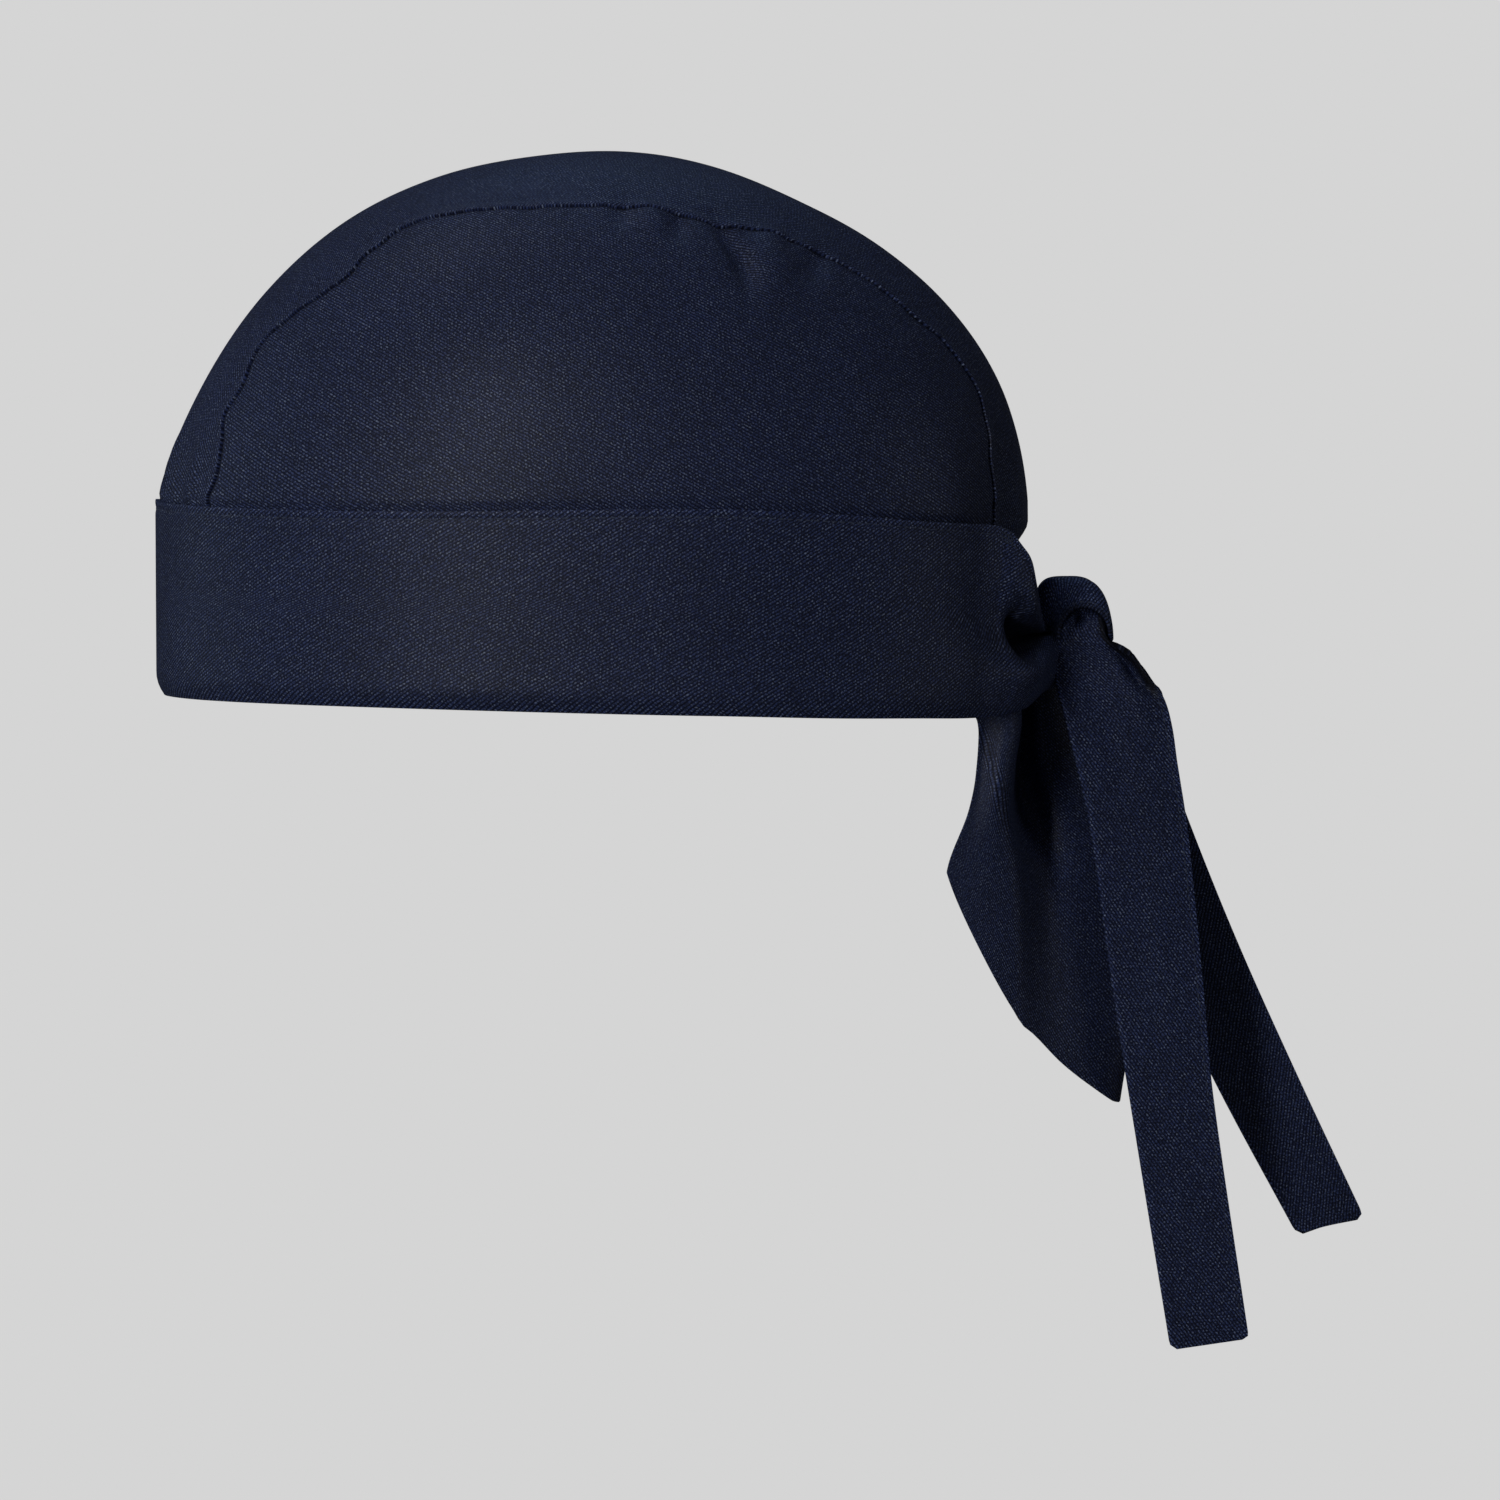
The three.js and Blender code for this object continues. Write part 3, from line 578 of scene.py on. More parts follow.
def hanging_place(share, down):
    """The cloth below the nape on the wearer's left. down: 0 nape to 1 hem."""
    turn = np.full_like(share, SEAM_END)
    spread = share * seam_spread(turn)
    lift = crown_relief(turn, share) + panel_seam_lap(past_seam(turn, spread))
    nape = crown_point(crown_direction(turn, spread), lift)
    hem = (lerp(TAIL_POINT_Z, TAIL_CORNER_Z, share**TAIL_POWER)
           + TAIL_POINT_ROUND * bump(share, 0, TAIL_POINT_WIDTH))
    z = lerp(nape[..., 2], hem, down)
    section = {k: read(TAIL_SECTION_Z, v, z) for k, v in TAIL_SECTIONS.items()}
    corners = ("bulge", "floor", "foot", "fold", "edge")
    xs = [-section["bulge_x"], 0 * z] + [section[f"{corner}_x"] for corner in corners]
    ys = [section["bulge_y"], section["keel_y"]] + [section[f"{corner}_y"] for corner in corners]
    x, y = (read(TAIL_SECTION_SHARES, rows, share) for rows in (xs, ys))
    settled = ease(nape[..., 2] - z, 0, nape[..., 2] - TAIL_SECTION_Z[0])
    return vector(lerp(nape[..., 0], x, settled), lerp(nape[..., 1], y, settled), z)


def foot_direction(angle):
    """Direction to the cloth's hidden foot, a little below the band's upper edge."""
    foot = plan_point(angle)
    run = nearest_run(foot[..., 0], foot[..., 1])
    foot[..., 2] = band_section("top", run) - SIDE_FOOT_DROP
    return unit(foot - CROWN_CENTRE)


def side_place(along, up):
    """A side panel, stretched between the band's upper edge and the seam."""
    def edge(turn):
        return crown_direction(turn, seam_spread(turn) - SIDE_UNDERLAP_SPREAD)

    start = seam_spread(SEAM_START) - SIDE_UNDERLAP_SPREAD
    end = 180 - seam_spread(SEAM_END) + SIDE_UNDERLAP_SPREAD
    foot = foot_direction(lerp(start, end, along))
    first, last = (foot_direction(np.array([a])) for a in (start, end))
    front = edge(lerp(turn_of(first), SEAM_FRONT_CORNER, up))
    back = edge(lerp(turn_of(last), SEAM_BACK_CORNER, up))
    top = edge(lerp(SEAM_FRONT_CORNER, SEAM_BACK_CORNER, along))
    u, v = along[:, None], up[:, None]
    corners = ((1 - u) * (1 - v) * edge(turn_of(first)) + u * (1 - v) * edge(turn_of(last))
               + (1 - u) * v * edge(np.array([SEAM_FRONT_CORNER]))
               + u * v * edge(np.array([SEAM_BACK_CORNER])))
    direction = (1 - v) * foot + v * top + (1 - u) * front + u * back - corners
    turn, spread = turn_of(direction), spread_of(direction)
    away = past_seam(turn, spread)
    lift = (crown_relief(turn, np.ones_like(turn)) * bump(away, 0, SIDE_RELIEF_FADE)
            + creased(turn, spread) - LAP_UNDER * (1 - ease(away, *LAP_UNDER_FADE))
            + PUCKER_ON_SIDE * pucker(turn, away) * (away > 0))
    return tucked_point(direction, lift)


def side_cut(point):
    """Cut of a side panel: unrolled about its middle, true in distance from there."""
    d = unit(point - CROWN_CENTRE)
    angle = np.arccos(np.clip(np.abs(d[..., 0]), -1, 1))
    flat = unit(d[..., 1:])
    return flat * (angle * SEAM_REACH)[..., None]


# ---- Ties and knot ----


def tie_place(side, back, z):
    """back: front edge 0 to back edge 1."""
    rows = TIES[side]
    front_y, back_y = (read(rows["z"], rows[edge], z) for edge in ("front", "back"))
    past_corner = np.maximum(0, TIE_CORNER_ROUND - (z - rows["z"][-1]))
    inset = TIE_CORNER_ROUND - np.sqrt(TIE_CORNER_ROUND**2 - past_corner**2)
    y = lerp(front_y + inset, back_y - inset, back)
    rise = (back - 0.5) * read(rows["z"], rows["rise"], z)
    width = back_y - front_y
    out = read(rows["z"], rows["side"], z) + (back - 0.5) * read(rows["z"], rows["twist"], z)
    for height, reach, path in TIE_FOLDS:
        shares, heights = zip(*path)
        if side < 0:
            shares = tuple(1 - share for share in shares)
        away = np.abs(back - read(heights, shares, z)) * width
        length = heights[0] - heights[-1]
        along = bump(z, (heights[0] + heights[-1]) / 2, TIE_FOLD_FADE * length)
        out = out + height * bump(away, 0, reach) * along
    return vector(side * out, y, z + rise)


def knot_place(over, across):
    """over: front foot 0, crown, back foot 1. across: wearer's left hem 1 to right hem -1."""
    arch = {k: read(KNOT_ACROSS, v, np.abs(across)) for k, v in KNOT_ARCHES.items()}
    angle = np.pi * over
    is_front = over < 0.5
    square = np.where(is_front, arch["front_square"], arch["back_square"])
    level = np.maximum(np.sin(angle), 0) ** square
    reach = np.sign(np.cos(angle)) * np.abs(np.cos(angle)) ** square
    foot = np.where(is_front, arch["front_z"], arch["back_z"])
    y = arch["centre_y"] - arch["half_span"] * reach
    return vector(KNOT_HALF_WIDTH * across, y, lerp(foot, arch["crown_z"], level))


# ---- Making a sheet of cloth and a row of stitches ----

EDGE_ANGLE = 55

# A stitch: its length as share of the pitch, its rise as share of its width, how far from
# its middle its way and the cloth's slope are read, and a point that it faces away from.
STITCH_LENGTH, STITCH_RISE = 0.74, 0.8
STITCH_LOOK, SMALL_SHARE = 0.3, 0.001
CAP_INSIDE = CROWN_CENTRE * [0, 1, 0.5]


def start_clean():
    if bpy.context.object and bpy.context.object.mode != "OBJECT":
        bpy.ops.object.mode_set(mode="OBJECT")
    bpy.ops.object.select_all(action="DESELECT")


def smooth(piece):
    start_clean()
    piece.select_set(True)
    bpy.context.view_layer.objects.active = piece
    bpy.ops.object.shade_smooth()


def apply_modifier(piece, kind, **settings):
    modifier = piece.modifiers.new(kind.title(), kind)
    for key, value in settings.items():
        setattr(modifier, key, value)
    bpy.context.view_layer.objects.active = piece
    bpy.ops.object.modifier_apply(modifier=modifier.name)


def strip_cut(points, columns, rows):
    """Cut of a strip: distances over the cloth from its middle column and its first row."""
    grid = points.reshape(rows, columns, 3)
    middle = columns // 2
    u = distance_along(grid.swapaxes(0, 1)).T
    u -= u[:, middle:middle + 1]
    v = distance_along(grid[:, middle])[:, None] + 0 * u
    return np.stack([u, v], -1).reshape(-1, 2)


def cloth_sheet(name, columns, rows, place, cut, cloth, grain, wear_and_shade, nodes,
                slot="navy_twill", round_off=0.35):
    """Adds a grid with one vertex for each column and row, bends it to its place, gives it
    the cloth's thickness and lays the weave on its cut. grain: turn of the ribs on the cut.
    wear_and_shade: how much the cloth is paled at each place, up to 1 on a rubbed edge and by
    painted light on the knot; below 0, how much painted shade darkens it, down to -1 in a seam's
    ditch.
    round_off: share of the cloth's thickness by which its edges are rounded."""
    start_clean()
    bpy.ops.mesh.primitive_grid_add(x_subdivisions=len(columns) - 1,
                                    y_subdivisions=len(rows) - 1, size=1, calc_uvs=True)
    piece = bpy.context.object
    piece.name = piece.data.name = name
    mesh = piece.data
    flat = np.empty(len(mesh.vertices) * 3)
    mesh.vertices.foreach_get("co", flat)
    flat = flat.reshape(-1, 3)
    i = np.rint((flat[:, 0] + 0.5) * (len(columns) - 1)).astype(int)
    j = np.rint((flat[:, 1] + 0.5) * (len(rows) - 1)).astype(int)
    order = j * len(columns) + i
    across, along = np.meshgrid(columns, rows)
    points = place(across.ravel(), along.ravel())
    cloth_uv = (cut(across.ravel(), along.ravel(), points) if cut
                else strip_cut(points, len(columns), len(rows)))
    turn = math.radians(-grain)
    spin = np.array([[math.cos(turn), math.sin(turn)], [-math.sin(turn), math.cos(turn)]])
    cloth_uv = (cloth_uv @ spin) * MM
    mesh.vertices.foreach_set("co", (points[order] * MM).ravel())
    corner = np.empty(len(mesh.loops), int)
    mesh.loops.foreach_get("vertex_index", corner)
    mesh.uv_layers[0].name = "cut"
    mesh.uv_layers["cut"].data.foreach_set("uv", cloth_uv[order][corner].ravel())
    # Above 0 this is wear, and painted light on the knot; below 0 it is painted shade.
    wear_and_shade_level = np.clip(wear_and_shade(across.ravel(), along.ravel()), -1, 1)
    mesh.attributes.new("wear_and_shade_level", "FLOAT", "POINT").data.foreach_set("value", wear_and_shade_level[order])
    mesh.update()
    apply_modifier(piece, "SOLIDIFY", thickness=cloth, offset=-1, use_rim=True)
    apply_modifier(piece, "BEVEL", width=round_off * cloth, segments=2,
                   limit_method="ANGLE", angle_limit=math.radians(EDGE_ANGLE))
    smooth(piece)
    mesh.materials.clear()
    mesh.materials.append(twill(slot))
    finish_piece(piece, nodes)
    return piece


def seam_ditch(turn, side):
    """Bottom of the ditch beside the centre panel's folded edge."""
    spread = seam_spread(turn) + math.degrees(DITCH_AWAY / SEAM_REACH)
    lift = creased(turn, spread) + crown_relief(turn, np.ones_like(turn)) - DITCH_SUNK
    return on_side(crown_point(crown_direction(turn, spread), lift), side)


def sew(name, seams, width, thread):
    """Makes one stitch and copies it along every seam. A seam: place, path and pitch."""
    start_clean()
    bpy.ops.mesh.primitive_uv_sphere_add(segments=6, ring_count=5, radius=0.5)
    pattern = bpy.context.object
    corners = np.array([v.co[:] for v in pattern.data.vertices])
    faces = [list(face.vertices) for face in pattern.data.polygons]
    bpy.data.objects.remove(pattern)
    all_corners, all_faces = [], []
    for place, a, b, pitch in seams:
        run = distance_along(place(a, b))
        at = np.arange(pitch / 2, run[-1], pitch)

        def on_cloth(shift, shift_a=0.0, shift_b=0.0):
            return place(np.interp(at + shift, run, a) + shift_a,
                         np.interp(at + shift, run, b) + shift_b)

        ahead = unit(on_cloth(STITCH_LOOK) - on_cloth(-STITCH_LOOK))
        small_a, small_b = (SMALL_SHARE * max(np.ptp(values), 1) for values in (a, b))
        normal = unit(np.cross(on_cloth(0, small_a) - on_cloth(0, -small_a),
                               on_cloth(0, 0, small_b) - on_cloth(0, 0, -small_b)))
        centre = on_cloth(0)
        outward = centre - CAP_INSIDE
        normal *= np.where((normal * outward).sum(-1, keepdims=True) < 0, -1, 1)
        across = unit(np.cross(normal, ahead))
        size = np.array([STITCH_LENGTH * pitch, width / MM, STITCH_RISE * width / MM])
        for k in range(len(at)):
            turned = np.stack([ahead[k], across[k], np.cross(ahead[k], across[k])])
            all_faces += [[v + len(all_corners) * len(corners) for v in face] for face in faces]
            all_corners.append(centre[k] + (corners * size) @ turned)
    mesh = bpy.data.meshes.new(name)
    mesh.from_pydata((np.concatenate(all_corners) * MM).tolist(), [], all_faces)
    mesh.materials.append(thread)
    piece = bpy.data.objects.new(name, mesh)
    bpy.context.collection.objects.link(piece)
    smooth(piece)
    return piece


# ---- Twill ----

# Thread floats, in metres: their length, how far a rib wavers and a float slips, and how
# each row of floats is shifted by a share of a float, evenly and by chance.
FLOAT_LENGTH, RIB_WAVER, FLOAT_SLIP = 0.00095, 0.0005, 0.0004
ROW_SHIFT, ROW_CHANCE = 0.5, 0.35

# Noises: patches to the metre, detail and roughness.
WAVER_NOISE, SLIP_NOISE = (160, 3, 0.5), (900, 1, 0.5)
FIBRE_NOISE, MELANGE_NOISE = (2300, 2, 0.6), (1100, 2, 0.6)
PATCH_NOISE, SPECK_NOISE = (38, 3, 0.55), (2380.952, 1, 0.6)
PLY_NOISE, THREAD_TONE_NOISE = (2600, 2, 0.6), (300, 2, 0.5)

# Tones and relief. Each pair is a gain and what is added after it.
HUMP_HEIGHT, SPECK_TONE = (0.55, 0.45), (3.6, -1.3)
LOT_LIGHT, SPECK_LIGHT, RIB_POWER, FIBRE_LIGHT = (0.75, 0.6), (1.3, 0.35), 1.8, (0.3, -0.15)
# The flecks of pale fibre also paint glints of the twill's sparkle.
FLECK_FROM, FLECK_GAIN, FLECK_AND_GLINT_SHARE, FLECK_AND_GLINT_COLOUR = 0.8, 5, 0.8, (0.42, 0.50, 0.66)
# The paling below comes from wear and from painted light on the knot; the darkening is painted
# shade.
PATCH_SHADE, WEAR_AND_LIGHT_PALER, PAINTED_SHADE_DEPTH = (0.5, 0.75), (1.1, -0.1), 0.9
LOT_RELIEF, FIBRE_RELIEF = (0.6, 0.6), 0.25
RIB_GLOSS, SPECK_GLOSS, GLOSS_ROUGHNESS = (1.7, -0.25), (0.7, 0.4), (-0.66, 1.0)
TONE_PLY, PLY_ROUGHNESS, PLY_RELIEF, PLY_DEPTH = (0.8, 0.6), (-0.15, 0.65), 0.5, 0.00008
PLY_DARK, PLY_LIGHT = 0.45, 1.5

# Smooth sheen over the weave. The handled cloth of the ties and the knot has less of it.
COATS = {"navy_twill": 0.34, "navy_twill_tie": 0.16}


class Nodes:
    """Adds shader nodes to a new material and joins them up."""

    def __init__(self, name):
        self.material = bpy.data.materials.new(name)
        self.material.use_nodes = True
        self.tree = self.material.node_tree
        self.shader = self.tree.nodes["Principled BSDF"]

    def join(self, node, inputs):
        for key, value in dict(inputs).items():
            if isinstance(value, bpy.types.NodeSocket):
                self.tree.links.new(value, node.inputs[key])
            else:
                node.inputs[key].default_value = value

    def add(self, kind, inputs=(), **settings):
        node = self.tree.nodes.new(kind)
        for key, value in settings.items():
            setattr(node, key, value)
        self.join(node, inputs)
        return node

    def math(self, operation, *values, clamp=False):
        return self.add("ShaderNodeMath", enumerate(values), operation=operation,
                        use_clamp=clamp).outputs[0]

    def ranged(self, value, gain_and_rest, clamp=False):
        return self.math("MULTIPLY_ADD", value, *gain_and_rest, clamp=clamp)

    def chance(self, dimensions, **place):
        return self.add("ShaderNodeTexWhiteNoise", place,
                        noise_dimensions=dimensions).outputs["Value"]

    def noise(self, place, scale, detail, roughness):
        return self.add("ShaderNodeTexNoise",
                        {"Vector": place, "Scale": scale, "Detail": detail,
                         "Roughness": roughness}).outputs["Fac"]

    def mix(self, share, a, b):
        node = self.add("ShaderNodeMix", data_type="RGBA")
        self.join(node, {0: share, 6: a, 7: b})
        return node.outputs[2]

    def relief(self, height, strength, depth):
        return self.add("ShaderNodeBump", {"Height": height, "Strength": strength,
                                           "Distance": depth}).outputs["Normal"]


def rgba(colour, times=1.0):
    return (*(c * times for c in colour), 1.0)


def twill_material(name, cloth, coat):
    """Navy twill: ribs of thread floats, a fleck of pale fibres that also stands in for painted
    glints of the twill's sparkle, and a faint sheen.
    """
    n = Nodes(name)
    place = n.add("ShaderNodeUVMap", uv_map="cut").outputs["UV"]
    x, y = n.add("ShaderNodeSeparateXYZ", {"Vector": place}).outputs[:2]
    waver = n.math("SUBTRACT", n.noise(place, *WAVER_NOISE), 0.5)
    y = n.math("ADD", y, n.math("MULTIPLY", waver, RIB_WAVER))
    slip = n.math("SUBTRACT", n.noise(place, *SLIP_NOISE), 0.5)
    x = n.math("ADD", x, n.math("MULTIPLY", slip, FLOAT_SLIP))

    # Each rib is a row of short floats, and each float has a brightness of its own.
    rows = n.math("MULTIPLY", y, 1 / cloth.rib_pitch)
    row = n.math("FLOOR", rows)
    start = n.math("MULTIPLY", n.chance("1D", W=row), ROW_CHANCE)
    start = n.math("MULTIPLY_ADD", row, ROW_SHIFT, start)
    floats = n.math("MULTIPLY_ADD", x, 1 / FLOAT_LENGTH, start)
    which = n.add("ShaderNodeCombineXYZ", {"X": row, "Y": n.math("FLOOR", floats)}).outputs[0]
    lot = n.chance("2D", Vector=which)
    rib, hump = (n.math("SINE", n.math("MULTIPLY", n.math("FRACT", value), math.pi))
                 for value in (rows, floats))
    height = n.math("MULTIPLY", rib, n.ranged(hump, HUMP_HEIGHT))

    # The colour: paler on the ribs and their pale fibres, whose flecks also paint glints, by
    # patches, wear and painted light, and darker by painted shade.
    fibre = n.noise(place, *FIBRE_NOISE)
    melange = n.noise(place, *MELANGE_NOISE)
    speck = n.ranged(n.noise(place, *SPECK_NOISE), SPECK_TONE, clamp=True)
    light = n.math("MULTIPLY", n.ranged(lot, LOT_LIGHT), n.ranged(speck, SPECK_LIGHT))
    level = n.math("MULTIPLY", n.math("POWER", height, RIB_POWER), light)
    level = n.math("ADD", level, n.ranged(fibre, FIBRE_LIGHT), clamp=True)
    colour = n.mix(level, rgba(cloth.furrow_colour), rgba(cloth.rib_colour))
    # Painted glints: the flecks of pale fibre on the ribs' tops also stand in for the sparkle of
    # light on the twill.
    bright = n.math("MULTIPLY", n.math("SUBTRACT", speck, FLECK_FROM), FLECK_GAIN, clamp=True)
    top = n.math("MULTIPLY", n.math("POWER", height, 2), FLECK_AND_GLINT_SHARE)
    colour = n.mix(n.math("MULTIPLY", bright, top), colour, rgba(FLECK_AND_GLINT_COLOUR))
    wear_and_shade_level = n.add("ShaderNodeAttribute", attribute_name="wear_and_shade_level").outputs["Fac"]
    # Where the attribute is above 0 the colour is paler: wear on edges, and painted light all
    # over the knot.
    paler = n.math("MULTIPLY", wear_and_shade_level, n.ranged(melange, WEAR_AND_LIGHT_PALER))
    # Painted shade: where the attribute is below 0 the colour is darkened, for the shade in the
    # seams' ditches, the band's pocket, the ties' back edges under the knot and the knot's hems.
    darker = n.math("MULTIPLY", wear_and_shade_level, PAINTED_SHADE_DEPTH)
    tone = n.ranged(n.noise(place, *PATCH_NOISE), PATCH_SHADE)
    tone = n.math("ADD", tone, n.math("MAXIMUM", paler, 0))
    tone = n.math("ADD", tone, n.math("MINIMUM", darker, 0))
    toned = n.add("ShaderNodeVectorMath", {0: colour, "Scale": tone}, operation="SCALE")

    relief = n.math("MULTIPLY", height, n.ranged(lot, LOT_RELIEF))
    relief = n.math("MULTIPLY_ADD", fibre, FIBRE_RELIEF, relief)
    gloss = n.math("MULTIPLY", n.ranged(height, RIB_GLOSS, clamp=True),
                   n.ranged(n.math("POWER", speck, 2), SPECK_GLOSS))
    n.join(n.shader, {
        "Base Color": toned.outputs[0], "Normal": n.relief(relief, 1, cloth.rib_depth),
        "Roughness": n.ranged(gloss, GLOSS_ROUGHNESS), "Specular IOR Level": 0.28,
        "Coat Weight": coat, "Coat Roughness": 0.47,
        "Sheen Weight": 0.01, "Sheen Roughness": 0.4, "Sheen Tint": (0.3, 0.45, 1.0, 1)})
    return n.material


def thread_material(name, cloth, shade):
    """Spun sewing thread. shade: painted shade, how light the thread is painted for the shade of
    the place where it is sewn.
    """
    n = Nodes(name)
    place = n.add("ShaderNodeTexCoord").outputs["Object"]
    ply = n.noise(place, *PLY_NOISE)
    tone = n.ranged(n.noise(place, *THREAD_TONE_NOISE), TONE_PLY)
    level = n.math("MULTIPLY", ply, tone, clamp=True)
    dark, light = (rgba(cloth.thread_colour, times * shade) for times in (PLY_DARK, PLY_LIGHT))
    n.join(n.shader, {
        "Base Color": n.mix(level, dark, light), "Normal": n.relief(ply, PLY_RELIEF, PLY_DEPTH),
        "Roughness": n.ranged(ply, PLY_ROUGHNESS), "Specular IOR Level": 0.35})
    return n.material


def cloth_settings():
    return bpy.context.scene.skull_cap_cloth


def twill(slot):
    """The woven twill of a material slot, made once."""
    name = f"woven_{slot}"
    made = bpy.data.materials.get(name)
    return made or twill_material(name, cloth_settings(), COATS[slot])


def finish_piece(piece, nodes):
    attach(piece, "root")
    if nodes:
        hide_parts(*nodes)


# ---- Pieces ----

# Grids, as spaced() reads them: stops with the largest step before each. The band's
# columns run from the middle of the forehead to the knot.
BAND_COLUMNS = (0, 1.7, BAND_HALF_LENGTH - 62, 1, BAND_HALF_LENGTH - 16, 0.4, BAND_HALF_LENGTH)
BAND_ROWS = (0, 0.033, 0.9, 0.0125, 1)
CENTRE_COLUMNS, CENTRE_ROWS = (0, 0.033, 0.9, 0.014, 1), (0, 0.0052, 1, 0.0105, 2)
SIDE_EDGE, SIDE_STEP, SIDE_ROWS = (0, 0.0025, 0.045), 0.0073, (0, 0.016, 0.94, 0.004, 1)
TIE_COLUMNS, TIE_STEP = (0, 0.04, 1), 0.9
KNOT_COLUMNS, KNOT_ROWS = (0, 0.02, 1), (1, 0.03, -1)

# Rows of stitches: how far before the knot the band's row ends, the seams' turns, the way
# over the knot with the share across it, and the heights and share of width on the ties.
BAND_STITCHES_END = 24
SEAM_STITCHES = (2, 0.5, 181)
KNOT_STITCHES, KNOT_STITCH_ACROSS, KNOT_STITCH_PITCH = (0.08, 0.01, 0.92), 0.94, 1.7
TIE_STITCH_TOP, TIE_STITCH_UP, TIE_STITCH_STEP, TIE_STITCH_BACK = 2, 3, 0.5, 0.935

# Tacks: their rows by distance below the band's edge, where they lie before the knot, how
# they swing to and fro, and their pitch.
TACK_ROWS, TACK_START, TACK_END, TACK_STEP = (0.6, 1.3, 2), 33, 26.5, 0.25
TACK_SWING, TACK_WAVES, TACK_PITCH = 0.5, 4, 1.3

# Marks of wear, or of painted shade below 0: strength, middle and width. The knot's even
# paling is painted light. Two of them come on along the band towards the knot and up the tie.
HEM_WEAR, RIM_WEAR = (0.7, 0, 0.05), (1, 1, 0.03)
# Painted shade: the band is darkened in the pocket of its pleat before the knot.
POCKET_PAINTED_SHADE, POCKET_RUN = (-0.9, 0.6, 0.28), (28, 14)
# Painted shadow: the side panels are darkened in the ditch beside the centre panel's edge.
SEAM_WEAR, DITCH_PAINTED_SHADOW = (0.5, 1, 0.03), (-0.8, 0.3, 0.9)
TIE_FRONT_WEAR, TIE_BACK_WEAR = (1, 0, 0.07), (1, 1, 0.07)
# Painted shade: the ties are darkened along their back edges close under the knot.
TIE_BACK_PAINTED_SHADE, TIE_PAINTED_SHADE_Z = (-1.9, 1, 0.16), (-4, 5)
# Painted light paling the whole knot, and painted shade along its hems.
KNOT_PAINTED_LIGHT, KNOT_HEM_PAINTED_SHADE = 0.9, (-1.4, 1, 0.12)


def mark(at, strength, middle, width):
    return strength * bump(at, middle, width)


def band_wear_and_shade(sideways, up):
    """Worn along the hem and the upper edge, and darkened by painted shade in the pocket before
    the knot.
    """
    gathered = ease(BAND_HALF_LENGTH - np.abs(sideways), *POCKET_RUN)
    return mark(up, *HEM_WEAR) + mark(up, *RIM_WEAR) + mark(up, *POCKET_PAINTED_SHADE) * gathered


def centre_wear(across, along):
    """Rubbed a little along both seams."""
    return mark(np.abs(across), *SEAM_WEAR)


def side_painted_shadow(along, up):
    """Painted shadow in the ditch beside the centre panel's edge."""
    direction = side_place(along, up) - CROWN_CENTRE
    return mark(past_seam(turn_of(direction), spread_of(direction)), *DITCH_PAINTED_SHADOW)


def tie_wear_and_shade(back, z):
    """Worn along both edges, and darkened by painted shade along the back edge near the knot."""
    painted_shade = mark(back, *TIE_BACK_PAINTED_SHADE) * ease(z, *TIE_PAINTED_SHADE_Z)
    return mark(back, *TIE_FRONT_WEAR) + mark(back, *TIE_BACK_WEAR) + painted_shade


def knot_painted_light_and_shade(over, across):
    """Paler all over by painted light, and darker along the hems by painted shade."""
    return KNOT_PAINTED_LIGHT + mark(np.abs(across), *KNOT_HEM_PAINTED_SHADE)


class SKULLCAP_OT_band(bpy.types.Operator):
    """Adds the forehead band, pleated and gathered into the knot"""

    bl_idname = "skull_cap.band"
    bl_label = "Forehead band"

    def execute(self, context):
        half = spaced(*BAND_COLUMNS)
        sideways = np.concatenate([-half[:0:-1], half])
        band = cloth_sheet("band_cloth", sideways, spaced(*BAND_ROWS), band_place_across,
                           band_cut, cloth_settings().band_cloth, grain=30,
                           wear_and_shade=band_wear_and_shade, nodes=["forehead_band"])
        return {"FINISHED"}


class SKULLCAP_OT_centre_panel(bpy.types.Operator):
    """Adds the centre panel, one strip from the forehead over the crown to the tail's hem"""

    bl_idname = "skull_cap.centre_panel"
    bl_label = "Centre panel and tail"

    def execute(self, context):
        half = spaced(*CENTRE_COLUMNS)
        across = np.concatenate([half[::-1], -half[1:]])
        along = spaced(*CENTRE_ROWS)[::-1]
        panel = cloth_sheet("centre_cloth", across, along, centre_place, centre_cut,
                            cloth_settings().panel_cloth, grain=45, wear_and_shade=centre_wear,
                            nodes=["centre_panel", "tail_flap"])
        return {"FINISHED"}


class SKULLCAP_OT_side_panels(bpy.types.Operator):
    """Adds the two side panels, which run under the centre panel's edge and the band"""

    bl_idname = "skull_cap.side_panels"
    bl_label = "Side panels"

    def execute(self, context):
        edge = spaced(*SIDE_EDGE)
        middle = spaced(SIDE_EDGE[-1], SIDE_STEP, 1 - SIDE_EDGE[-1])[1:-1]
        along = np.concatenate([edge, middle, 1 - edge[::-1]])
        for side, name in SIDES:
            panel = cloth_sheet(f"side_cloth_{name}", along[::side], spaced(*SIDE_ROWS),
                                lambda a, b: on_side(side_place(a, b), side),
                                lambda a, b, points: on_side(side_cut(points), side),
                                cloth_settings().panel_cloth, grain=side * 151,
                                wear_and_shade=side_painted_shadow, nodes=[f"side_panel_{name}"])
        return {"FINISHED"}


